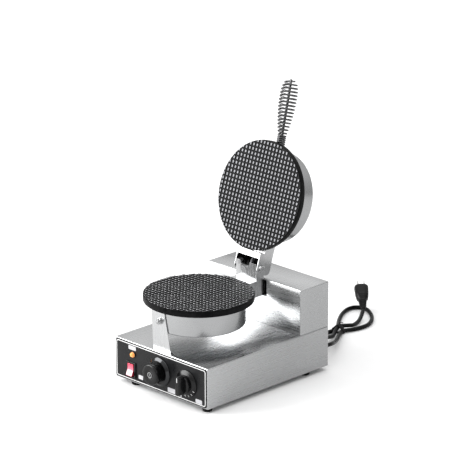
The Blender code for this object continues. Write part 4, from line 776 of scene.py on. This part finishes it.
HANDLE_DROOP = radians(4.5)
HANDLE_LENGTH = 0.137
HANDLE_ROD = 0.0027
COIL_WIRE = 0.0017
NECK_LENGTH = 0.021
NECK_PITCH = 0.0038
NECK_RADIUS = 0.0072
GRIP_PITCH = 0.0067
GRIP_RADIUS = 0.0158
GRIP_TIP_RADIUS = 0.0048
GRIP_PEAK = 0.68
GRIP_ROUNDNESS = 2.5
HANDLE_NUT = 0.006
HANDLE_NUT_SIZE = 0.0175


def grip_radius(along):
    """Mean radius of the coil at a share of the grip's length: it widens, then closes."""
    if along < GRIP_PEAK:
        return NECK_RADIUS + (GRIP_RADIUS - NECK_RADIUS) * sin(along / GRIP_PEAK * pi / 2)
    closing = min(1.0, (along - GRIP_PEAK) / (1 - GRIP_PEAK))
    share = (1 - closing**GRIP_ROUNDNESS) ** (1 / GRIP_ROUNDNESS)
    return GRIP_TIP_RADIUS + (GRIP_RADIUS - GRIP_TIP_RADIUS) * share


def build_handle():
    """The wire-coil handle: a rod, a close-wound neck and an open bulb that keeps the hand cool."""
    nut_tilt = HANDLE_NUT_SIZE / sqrt(3) * sin(HANDLE_DROOP)
    start = Vector((0.0, PLATE_CENTRE.y - DRUM_RADIUS - 0.0003 - nut_tilt, LID_FACE + 0.0315))
    way = Vector((0.0, -cos(HANDLE_DROOP), -sin(HANDLE_DROOP)))
    across = Vector((1.0, 0.0, 0.0))
    side = way.cross(across).normalized()
    neck_start = HANDLE_NUT + COIL_WIRE + 0.0003
    grip_start = neck_start + NECK_LENGTH
    grip_length = HANDLE_LENGTH - 2 * COIL_WIRE - grip_start
    neck_turns = NECK_LENGTH / NECK_PITCH
    turns = neck_turns + grip_length / GRIP_PITCH
    steps = 28
    points = []
    for k in range(int(turns * steps) + 1):
        turn = k / steps
        if turn < neck_turns:
            along = neck_start + turn * NECK_PITCH
            radius = NECK_RADIUS
        else:
            along = grip_start + (turn - neck_turns) * GRIP_PITCH
            radius = grip_radius((along - grip_start) / grip_length)
        angle = 2 * pi * turn
        points.append(start + way * along + (side * cos(angle) + across * sin(angle)) * radius)
    ride(opened(tube_curve("handle_coil_fine", points, COIL_WIRE, SPRING, 4)), "lid")
    tip = HANDLE_LENGTH
    profile = [(0.0, tip), (0.0013, tip - 0.0001), (0.0022, tip - 0.0007), (HANDLE_ROD, tip - 0.0018)]
    profile += [(HANDLE_ROD, 0.0), (0.0, 0.0)]
    ride(opened(turned("handle_rod_fine", profile, start, way, SPRING, 32)), "lid")
    nut = opened(hex_nut("handle_nut_fine", start, way, HANDLE_NUT_SIZE, HANDLE_NUT, HANDLE_ROD + 0.0002))
    ride(nut, "lid")


# ---- control panel
INK_GAP = 0.00002
KNOB_BORE = 0.0033
SKIRT_BORE = 0.0032


def panel_turn(x, z, y=None):
    """Stands local X along +X, local Y up, and local Z towards the front."""
    y = PANEL_LOW.y if y is None else y
    return Matrix.Translation((x, y, z)) @ Matrix.Rotation(pi / 2, 4, "X")


def build_panel():
    refined("control_panel", PANEL, 0.0002, "base", 2)
    middle = (PANEL_LOW + PANEL_HIGH) / 2
    turn = panel_turn(middle.x, middle.z)
    width, height = PANEL_HIGH.x - PANEL_LOW.x, PANEL_HIGH.z - PANEL_LOW.z
    line, inset, lift = 0.0015, 0.0022, 0.00015
    outer = rounded_rectangle(width - 2 * inset, height - 2 * inset, 0.0052, count=10)
    inner_inset = inset + line
    inner = rounded_rectangle(width - 2 * inner_inset, height - 2 * inner_inset, 0.0037, count=10)
    shape = bmesh.new()
    frame_ring(shape, outer, inner, INK_GAP, lift, turn)
    ride(shape_mesh("panel_border", shape, INK), "base")
    labels = [
        ("lamp", -0.0765, 0.0785, 0.02, 0.008), ("switch", -0.0535, 0.0255, 0.012, 0.008),
        ("heat", 0.038, 0.022, 0.037, 0.0095), ("timer", 0.102, 0.0205, 0.017, 0.008),
    ]
    for name, x, z, wide, tall in labels:
        outline = rounded_rectangle(wide, tall, 0.0015)
        ride(slab("label_" + name, outline, INK_GAP, 0.00018, panel_turn(x, z), LABEL), "base")


def round_box(node):
    """A round piece along Y: its centre at its highest Y, its radius, and its length."""
    low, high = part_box(node)
    return Vector(((low.x + high.x) / 2, high.y, (low.z + high.z) / 2)), (high.x - low.x) / 2, high.y - low.y


def build_lamp():
    place, flange, _ = round_box("indicator_body")
    place.y = PANEL_LOW.y
    profile = [
        (0.0, 0.0012), (flange - 0.002, 0.0012), (flange - 0.0014, 0.0018),
        (flange - 0.0006, 0.0016), (flange, 0.0008), (flange, 0.0), (0.0046, 0.0),
        (0.0046, -0.0175), (0.0, -0.0175),
    ]
    ride(turned("indicator_bezel", profile, place, FORWARD, BLACK, 48), "base", "indicator_body")
    radius = 0.0052
    dome = arc((0.0, 0.0018), radius, pi / 2, 0.0, 12)
    lens = turned("indicator_lens_fine", [*dome, (radius, 0.0013), (0.0, 0.0013)], place, FORWARD, AMBER, 48)
    ride(lens, "base")


def build_rocker():
    refined("switch_frame", BLACK, 0.0006, "base")
    refined("rocker", RED, 0.0006, "rocker", 4)


def skirt_edge(radius, tall):
    """The lower slope and foot of a dial's skirt."""
    return [
        (radius - 0.0012, tall * 0.42), (radius - 0.0003, tall * 0.3), (radius, tall * 0.18),
        (radius, 0.0), (SKIRT_BORE, 0.0),
    ]


def build_temperature_dial():
    place, radius, tall = round_box("temperature_skirt")
    profile = [
        (SKIRT_BORE, tall * 0.72), (radius * 0.74, tall * 0.72), (radius * 0.76, tall),
        (radius * 0.8, tall), *skirt_edge(radius, tall),
        (SKIRT_BORE, tall * 0.72),
    ]
    ride(turned("temperature_skirt_fine", profile, place, FORWARD, BLACK_CHROME, 96), "temperature_dial")
    top, bottom, edge = tall * 0.76, tall * 0.7, radius * 0.735
    profile = [(0.0034, top), (edge, top), (edge, bottom), (0.0034, bottom), (0.0034, top)]
    ride(turned("temperature_face", profile, place, FORWARD, BLACK, 72), "temperature_dial")
    place, cap, tall = round_box("temperature_knob")
    neck = 0.018
    profile = [
        (0.0, tall - 0.0004), (0.0045, tall - 0.0004), (0.0052, tall - 0.0009),
        (0.006, tall - 0.0009), (0.0068, tall - 0.0004), (cap - 0.003, tall - 0.0001),
        (cap - 0.0014, tall - 0.0004), (cap - 0.0004, tall - 0.0013), (cap, tall - 0.0026),
        (cap - 0.0002, tall - 0.006), (neck + 0.0006, 0.0012), (neck + 0.0002, 0.0), (KNOB_BORE, 0.0),
        (KNOB_BORE, 0.005), (0.0, 0.005),
    ]
    ride(turned("temperature_knob_fine", profile, place, FORWARD, BLACK, 96), "temperature_dial")
    shape = bmesh.new()
    turn = panel_turn(place.x, place.z, place.y - tall)
    ring = arc((0.0, 0.0), 0.0056, 0.0, 2 * pi, 36)[:-1]
    inner = arc((0.0, 0.0), 0.0042, 0.0, 2 * pi, 36)[:-1]
    frame_ring(shape, ring, inner, -0.0006, 0.00002, turn)
    prism(shape, rounded_rectangle(0.0014, 0.005, 0.0005, (0.0, 0.0), 2), -0.0006, -0.00004, turn)
    ride(shape_mesh("temperature_mark", shape, SILVER), "temperature_dial")


def build_timer_dial():
    place, radius, tall = round_box("timer_skirt")
    profile = [
        (SKIRT_BORE, tall), (radius * 0.66, tall), (radius * 0.7, tall - 0.0004),
        *skirt_edge(radius, tall),
        (SKIRT_BORE, tall),
    ]
    ride(turned("timer_skirt_fine", profile, place, FORWARD, BLACK, 96), "timer_dial", slot="silver")
    shape = bmesh.new()
    slope = Matrix.Rotation(radians(25), 4, "Y")
    for k in range(5):
        angle = radians(-26 - 22 * k)
        spun = panel_turn(*place.xz, place.y) @ Matrix.Rotation(angle, 4, "Z")
        spot = spun @ Matrix.Translation((radius * 0.885, 0.0, tall * 0.585)) @ slope
        prism(shape, rounded_rectangle(0.0042, 0.0008, 0.0002, count=2), -0.0002, 0.0002, spot)
    ride(shape_mesh("timer_marks", shape, INK), "timer_dial")
    build_timer_knob(*place.xz)


def build_timer_knob(x, z):
    """A round hub with a tall bar across it to grip."""
    low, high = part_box("timer_knob")
    hub, hub_height = 0.0165, 0.007
    tall = high.y - low.y
    turn = panel_turn(x, z, high.y)
    profile = [
        (0.0, hub_height), (hub - 0.0018, hub_height), (hub - 0.0005, hub_height - 0.0006),
        (hub, hub_height - 0.002), (hub, 0.0008), (hub - 0.0004, 0.0), (KNOB_BORE, 0.0),
        (KNOB_BORE, 0.005), (0.0, 0.005),
    ]
    shape = bmesh.new()
    revolve(shape, profile, 96, turn)
    wide, long_side = 0.0125, high.z - low.z
    levels = [
        (hub_height - 0.0006, wide, long_side),
        (hub_height + 0.003, wide * 0.98, long_side * 0.995),
        (tall - 0.0022, wide * 0.94, long_side * 0.985),
        (tall - 0.0008, wide * 0.86, long_side * 0.965),
        (tall - 0.0001, wide * 0.7, long_side * 0.93),
    ]
    loft(shape, levels, turn, 0.42)
    ride(shape_mesh("timer_knob_fine", shape, BLACK), "timer_dial")
    pointer = rounded_rectangle(0.0014, 0.009, 0.0006, (0.0, long_side * 0.33), 3)
    ride(slab("timer_pointer", pointer, tall - 0.0004, tall + 0.00005, turn, INK), "timer_dial")


# ---- housings, feet and inner pieces
def build_body():
    refined("base_shell", STEEL_BASE, 0.0002, "base", 2)
    refined("rear_housing", STEEL_REAR, 0.0002, "base", 2)
    refined("hinge_support", STEEL_INNER, 0.0003, "base", 2)
    for name in ("front_left", "front_right", "rear_left", "rear_right"):
        build_foot(name)
    build_rear_details()


def build_foot(name):
    low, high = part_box("foot_" + name)
    x, y = (low.x + high.x) / 2, (low.y + high.y) / 2
    radius, tall = (high.x - low.x) / 2, high.z - low.z
    profile = [
        (0.0, tall), (radius * 0.93, tall), (radius * 0.985, tall - 0.0005), (radius, tall * 0.8),
        (radius * 0.93, tall * 0.45), (radius * 0.85, tall * 0.12), (radius * 0.8, tall * 0.02),
        (radius * 0.74, 0.0), (0.0045, 0.0), (0.0042, 0.0035), (0.0, 0.0035),
    ]
    ride(turned(f"foot_{name}_fine", profile, Vector((x, y, 0.0)), UP, RUBBER, 48), "base")
    ride(screw_head(f"foot_{name}_screw", Vector((x, y, 0.0034)), -UP, 0.0034, 0.0015), "base")


def build_rear_details():
    """Screws on the back and underneath, and a block of louvres."""
    back = BASE_BACK
    spots = [(-0.112, 0.105), (0.112, 0.105), (-0.112, 0.168), (0.112, 0.168), (-0.105, 0.078), (0.06, 0.078)]
    for k, (x, z) in enumerate(spots):
        ride(screw_head(f"back_screw_{k}", Vector((x, back + 0.0001, z)), (0, 1, 0), 0.0034), "base")
    shape = bmesh.new()
    for k in range(6):
        z = 0.122 + k * 0.0075
        turn = Matrix.Translation((0.0, back, z)) @ Matrix.Rotation(-pi / 2, 4, "X")
        louvre(shape, turn, 0.07, 0.003, 0.0016)
    ride(shape_mesh("back_louvres", shape, STEEL_REAR), "base")
    for k, (x, y) in enumerate([(-0.115, -0.155), (0.115, -0.155), (-0.115, 0.15), (0.115, 0.15)]):
        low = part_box("bottom_plate")[0].z
        ride(screw_head(f"under_screw_{k}", Vector((x, y, low)), -UP, 0.003, 0.0014), "base")


def louvre(shape, turn, width, tall, proud):
    """A pressed louvre: a low half-round hood that opens along its lower edge."""
    steps = 8
    rows = []
    for i in range(13):
        share = i / 12
        x = (share - 0.5) * width
        end = min(1.0, (0.5 - abs(share - 0.5)) * 12)
        rise = proud * sqrt(end) if end < 1 else proud
        row = []
        for j in range(steps + 1):
            angle = pi / 2 * j / steps
            point = Vector((x, tall * (1.0 - cos(angle)), 0.0002 + rise * sin(angle)))
            row.append(shape.verts.new(turn @ point))
        rows.append(row)
    for first, second in zip(rows, rows[1:]):
        for j in range(steps):
            shape.faces.new([first[j], second[j], second[j + 1], first[j + 1]])


def dress_inner_parts():
    """The nodes that keep their CAD shape, nearly all of them hidden."""
    looks = {
        SHEATH: ("lower_heater", "upper_heater"),
        WOOL: ("lower_insulation", "upper_insulation"),
        CERAMIC: ("thermostat_body", "terminal_block"),
        BLACK_SATIN: ("timer_body",),
        NICKEL: ("temperature_sensor",),
        STEEL_BRIGHT: ("temperature_shaft", "timer_shaft"),
        STEEL_INNER: ("bottom_plate", "lower_cover"),
    }
    for material, nodes in looks.items():
        for node in nodes:
            dress(node, material)


# ---- cord
def build_gland():
    """The strain relief, a ribbed taper. Returns where the cord leaves it."""
    tip, flange, _ = round_box("cord_gland")
    reach = tip.y - BASE_BACK
    profile = [(0.0, reach), (CORD_RADIUS + 0.0002, reach), (CORD_RADIUS + 0.001, reach - 0.0006)]
    ribs = 7
    step = (reach - 0.01) / ribs
    for k in range(ribs):
        top = reach - 0.0012 - k * step
        grow = CORD_RADIUS + 0.0012 + 0.0021 * k / ribs
        profile += [(grow, top), (grow + 0.0002, top - step * 0.55), (grow - 0.0007, top - step * 0.62)]
        profile += [(grow - 0.0007, top - step * 0.92)]
    profile += [
        (CORD_RADIUS + 0.0036, 0.007), (flange - 0.0016, 0.005), (flange - 0.0004, 0.0042),
        (flange, 0.0034), (flange, 0.0003), (0.0, 0.0003),
    ]
    gland = turned("cord_gland_fine", profile, Vector((tip.x, BASE_BACK, tip.z)), -FORWARD, BLACK_SATIN, 40)
    ride(gland, "base")
    return tip


# The cord's route on the standing surface: the model's own points down from the
# gland, then through the tie, round the loop that shows, back through the tie, round the coil
# behind the machine and a third time through the tie to the plug.
FLOOR = CORD_RADIUS + 0.0003
LOW = FLOOR + 0.0006
OUT_TO_TIE = [
    (0.028, 0.2925, 0.0104), (0.0205, 0.3035, 0.008), (0.013, 0.313, 0.006),
    (0.008, 0.3215, LOW),
]
LOOP = [
    (0.0095, 0.332, LOW), (0.0135, 0.344, FLOOR), (0.0172, 0.356, FLOOR),
    (0.0192, 0.3715, FLOOR), (0.0172, 0.3885, FLOOR), (0.0078, 0.408, FLOOR),
    (-0.0067, 0.4252, FLOOR), (-0.025, 0.44, FLOOR), (-0.044, 0.45, FLOOR),
    (-0.059, 0.45, FLOOR), (-0.0685, 0.443, FLOOR), (-0.0722, 0.432, FLOOR),
    (-0.07, 0.417, FLOOR), (-0.06, 0.3945, FLOOR), (-0.045, 0.3715, FLOOR),
    (-0.029, 0.351, FLOOR), (-0.016, 0.335, LOW), (-0.0085, 0.3205, LOW),
]
BACK_TO_COIL = [
    (-0.0085, 0.305, FLOOR), (-0.012, 0.286, FLOOR), (-0.019, 0.265, FLOOR),
    (-0.027, 0.246, FLOOR),
]
COIL_CENTRE = Vector((0.001, 0.2265))
COIL_RADIUS = 0.0335
COIL_TURNS = 2.5
COIL_TO_TIE = [
    (0.0352, 0.242, 0.0192), (0.0325, 0.255, 0.0165), (0.027, 0.268, 0.0125),
    (0.0195, 0.282, 0.008), (0.011, 0.295, 0.0064), (0.004, 0.307, 0.0088),
    (-0.0002, 0.3205, 0.0128),
]
TIE_TO_PLUG = [
    (0.002, 0.333, 0.0122), (0.004, 0.346, 0.01), (0.003, 0.359, 0.007),
    (-0.002, 0.373, 0.0052), (-0.0085, 0.388, 0.005), (-0.016, 0.402, 0.0066),
    (-0.0235, 0.4145, 0.0098),
]
PLUG_START = Vector((-0.031, 0.4265, 0.0134))
PLUG_HEADING = radians(137)
PLUG_TILT = radians(20)


def cord_points(exit_point):
    """Points along the whole cord, from the gland to the plug."""
    x, y, z = exit_point
    down = [
        (x, y + 0.0003, z), (x, y + 0.009, z - 0.0004), (x - 0.0035, y + 0.019, z - 0.0024),
        (x - 0.01, y + 0.03, z - 0.0058), (x - 0.0175, y + 0.0415, z - 0.0095),
        (x - 0.0255, y + 0.053, z - 0.013), (x - 0.034, y + 0.065, z - 0.016),
        (x - 0.0425, y + 0.077, z - 0.0178), (x - 0.05, y + 0.0875, z - 0.0186),
    ]
    coil = []
    steps = int(COIL_TURNS * 16)
    layer = CORD_DIAMETER + 0.0001
    for k in range(steps + 1):
        turn = k / 16
        angle = pi + 2 * pi * turn
        whole, part = divmod(turn + 1 / 6, 1.0)
        climb = min(1.0, part * 6) if whole else 0.0
        height = FLOOR + layer * (max(0.0, whole - 1) + climb)
        coil.append((*(COIL_CENTRE + Vector((cos(angle), sin(angle))) * COIL_RADIUS), height))
    route = down + OUT_TO_TIE + LOOP + BACK_TO_COIL + coil + COIL_TO_TIE + TIE_TO_PLUG
    return smooth_route([*route, PLUG_START], 5)


def plug_matrix():
    """Z is the way that the plug points, and X is its width."""
    flat = Vector((cos(PLUG_HEADING), sin(PLUG_HEADING), 0.0))
    way = flat * cos(PLUG_TILT) + UP * sin(PLUG_TILT)
    side = UP.cross(flat).normalized()
    turn = Matrix((side, -way.cross(side), way)).transposed()
    return Matrix.Translation(PLUG_START) @ turn.to_4x4()


def build_plug():
    """A moulded three-pin plug: ribbed sleeve, ridged body, two flat blades and a round pin."""
    turn = plug_matrix()
    relief, body, neck, sleeve = 0.028, 0.04, 0.0155, 0.0096
    width, thickness = 0.029, 0.0235
    sections = [(0.0, sleeve, sleeve)]
    ribs = 6
    for k in range(ribs):
        low = 0.001 + k * (relief - 0.003) / ribs
        high = low + (relief - 0.003) / ribs
        grow = sleeve + (neck - sleeve) * k / ribs
        sections += [
            (low + 0.0006, grow + 0.0012, grow + 0.001),
            (high - 0.0016, grow + 0.0016, grow + 0.0014), (high - 0.0012, grow + 0.0002, grow),
            (high - 0.0002, grow + 0.0004, grow + 0.0002),
        ]
    sections.append((relief - 0.001, neck, neck * 0.9))
    swell = [
        (0.004, 0.7, 0.73), (0.0065, 0.8, 0.82), (0.007, 0.78, 0.8), (0.0095, 0.84, 0.84),
        (0.01, 0.82, 0.82), (0.0125, 0.88, 0.87), (0.013, 0.86, 0.85), (0.018, 0.93, 0.9),
        (0.03, 0.97, 0.96),
    ]
    sections += [(relief + along, width * wide, thickness * thick) for along, wide, thick in swell]
    for back, less in ((0.0016, 0.0), (0.0004, 0.0006), (0.0, 0.002)):
        sections.append((relief + body - back, width - less, thickness - less))
    shape = bmesh.new()
    loft(shape, sections, turn, 0.42)
    plug = shape_mesh("plug_body_fine", shape, PVC)
    ride(plug, "base")
    foot = relief + body
    pieces = [plug]
    for name, side in (("plug_blade_live", -1), ("plug_blade_neutral", 1)):
        place = turn @ Matrix.Translation((side * 0.00635, -0.003, foot))
        shape = bmesh.new()
        blade = [
            (0.0, 0.0015, 0.0063), (0.015, 0.0015, 0.0063), (0.0168, 0.0013, 0.0052),
            (0.0175, 0.0007, 0.004),
        ]
        loft(shape, blade, place, 0.12, 2)
        flat = shape_mesh(name + "_fine", shape, NICKEL)
        ride(flat, "base")
        # painted shade: each blade's hole is filled with a near-black disc
        dot = bmesh.new()
        hole = facing(place.to_3x3() @ Vector((1.0, 0.0, 0.0)), place @ Vector((0.0, 0.0, 0.0125)))
        revolve(dot, [(0.0, 0.0008), (0.0016, 0.0008), (0.0016, -0.0008), (0.0, -0.0008)], 16, hole)
        painted_hole_shade = shape_mesh(name + "_hole", dot, PAINTED_SHADE)
        ride(painted_hole_shade, "base")
        pieces += [flat, painted_hole_shade]
    way = turn.to_3x3() @ UP
    profile = [
        (0.0, 0.0205), (0.001, 0.0203), (0.0018, 0.0196), (0.0023, 0.0185), (0.0024, 0.0172),
        (0.0024, 0.0), (0.0, 0.0),
    ]
    pin = turned("plug_ground_pin_fine", profile, turn @ Vector((0.0, 0.0074, foot)), way, NICKEL, 24)
    ride(pin, "base")
    return [*pieces, pin]


def build_tie():
    """A black band round the three strands, and its twisted ends."""
    way = (Vector((-0.027, 0.4065)) - Vector((0.001, 0.2265))).normalized()
    across = Vector((way.y, -way.x, 0.0))
    way = Vector((way.x, way.y, 0.0))
    middle = Vector((-0.0002, 0.3208, 0.0))
    centres = [(-0.0083, LOW), (0.0083, LOW), (0.0, 0.0128)]
    count = 48
    shape = bmesh.new()
    rings = []
    half = [(0.0042, 0.0052), (0.0052, 0.0052), (0.0056, 0.0042)]
    for radius, along in [(radius, -along) for radius, along in half] + half[::-1]:
        ring = []
        for k in range(count):
            angle = 2 * pi * k / count
            u, z = max(centres, key=lambda c: c[0] * cos(angle) + c[1] * sin(angle))
            u, z = u + radius * cos(angle), z + radius * sin(angle)
            ring.append(shape.verts.new(middle + across * u + UP * max(z, 0.0002) + way * along))
        rings.append(ring)
    skin(shape, rings, closed=True)
    band = shape_mesh("cord_tie_band", shape, BLACK_SATIN)
    ride(band, "base", "cord_tie")
    start = middle + UP * 0.0178
    tails = []
    for k, lean in enumerate((-1.0, 1.0)):
        points = []
        for j in range(21):
            share = j / 20
            swirl = 2 * pi * 2.0 * share + (0 if k else pi)
            spread = 0.0009 * (1 - share) + 0.0022 * max(0.0, share - 0.6)
            points.append(
                start + across * (spread * cos(swirl) + lean * 0.0035 * max(0.0, share - 0.6))
                + way * (0.012 * share + spread * sin(swirl)) + UP * (0.0035 * sin(pi * share) * 0.6)
            )
        tail = tube_curve(f"cord_tie_end_{k}", points, 0.0008, BLACK_SATIN, 2)
        ride(tail, "base")
        tails.append(tail)
    return [band, *tails]


def build_cord():
    exit_point = build_gland()
    points = cord_points(exit_point)
    cord = tube_curve("power_cord_fine", points, CORD_RADIUS, PVC, 5)
    ride(cord, "base", "cord_hank")
    build_plug() + build_tie()


# ---- studio
CAMERA_PLACE = Vector((3.7837, -3.7507, 2.0876))
CAMERA_TARGET = Vector((0.0118, 0.0248, 0.274))
CAMERA_LENS = 227.85


def build_floor():
    """Pale paper, painted grey for glossy rays only: a painted reflection, so the metal mirrors it darker."""
    shape = bmesh.new()
    bmesh.ops.create_grid(shape, x_segments=4, y_segments=4, size=9.0)
    floor = shape_mesh("studio_floor", shape)
    shader = Shader("studio_paper", (0.93, 0.93, 0.93), 0.9, Specular_IOR_Level=0.1)
    fibres = shader.noise(40.0, 3.0, 0.5)
    paper = shader.blend_colours(fibres, (0.925, 0.925, 0.925), (0.935, 0.935, 0.935))
    # painted reflection: glossy rays see the floor painted grey 0.64 instead of its pale colour
    painted_reflection_share = shader.node("LightPath").outputs["Is Glossy Ray"]
    shader.feed("Base Color", shader.mix(painted_reflection_share, paper, (0.64, 0.64, 0.64)))
    floor.data.materials.append(shader.material)


def aim(name, data, place, target):
    """Adds a light or the camera at a place, looking at a target."""
    obj = bpy.data.objects.new(name, data)
    obj.location = place
    obj.rotation_euler = (Vector(target) - Vector(place)).to_track_quat("-Z", "Y").to_euler()
    bpy.context.scene.collection.objects.link(obj)
    return obj


def add_area(name, place, target, size, power):
    light = bpy.data.lights.new(name, "AREA")
    light.energy = power
    light.size = size
    aim(name, light, place, target)


def build_world():
    """A tent of soft light, brightest overhead and dimmer towards the horizon."""
    world = bpy.data.worlds.new("studio")
    world.use_nodes = True
    tree = world.node_tree
    coordinates = tree.nodes.new("ShaderNodeTexCoord")
    split = tree.nodes.new("ShaderNodeSeparateXYZ")
    tree.links.new(coordinates.outputs["Generated"], split.inputs["Vector"])
    ramp = tree.nodes.new("ShaderNodeValToRGB")
    tree.links.new(split.outputs["Z"], ramp.inputs["Fac"])
    stops = ((0.0, 0.4), (0.22, 0.52), (0.55, 0.9), (1.0, 1.2))
    elements = ramp.color_ramp.elements
    for position, _ in stops[1:-1]:
        elements.new(position)
    for element, (_, level) in zip(elements, stops):
        element.color = (level, level, level, 1.0)
    tree.links.new(ramp.outputs["Color"], tree.nodes["Background"].inputs["Color"])
    tree.nodes["Background"].inputs["Strength"].default_value = 1.0
    bpy.context.scene.world = world


def build_lights():
    build_world()
    sun = bpy.data.lights.new("overhead", "SUN")
    sun.energy = 0.75
    sun.angle = radians(75)
    obj = bpy.data.objects.new("overhead", sun)
    obj.rotation_euler = (radians(8), radians(-6), 0.0)
    bpy.context.scene.collection.objects.link(obj)
    middle = (0.0, 0.0, 0.12)
    add_area("front_left", (-1.7, -1.7, 1.0), middle, 1.8, 85.0)
    add_area("back_left", (-1.7, 1.7, 1.0), middle, 1.5, 2.0)


def build_camera():
    camera = bpy.data.cameras.new("camera")
    camera.sensor_width = 36.0
    camera.lens = CAMERA_LENS
    camera.clip_end = 50.0
    bpy.context.scene.camera = aim("camera", camera, CAMERA_PLACE, CAMERA_TARGET)


build_camera()
build_cord()
build_plates()
build_drums()
build_front_bracket()
build_hinge()
build_handle()
build_panel()
build_lamp()
build_rocker()
build_temperature_dial()
build_timer_dial()
build_body()
dress_inner_parts()
build_floor()
build_lights()
bpy.context.scene.view_settings.view_transform = "Standard"
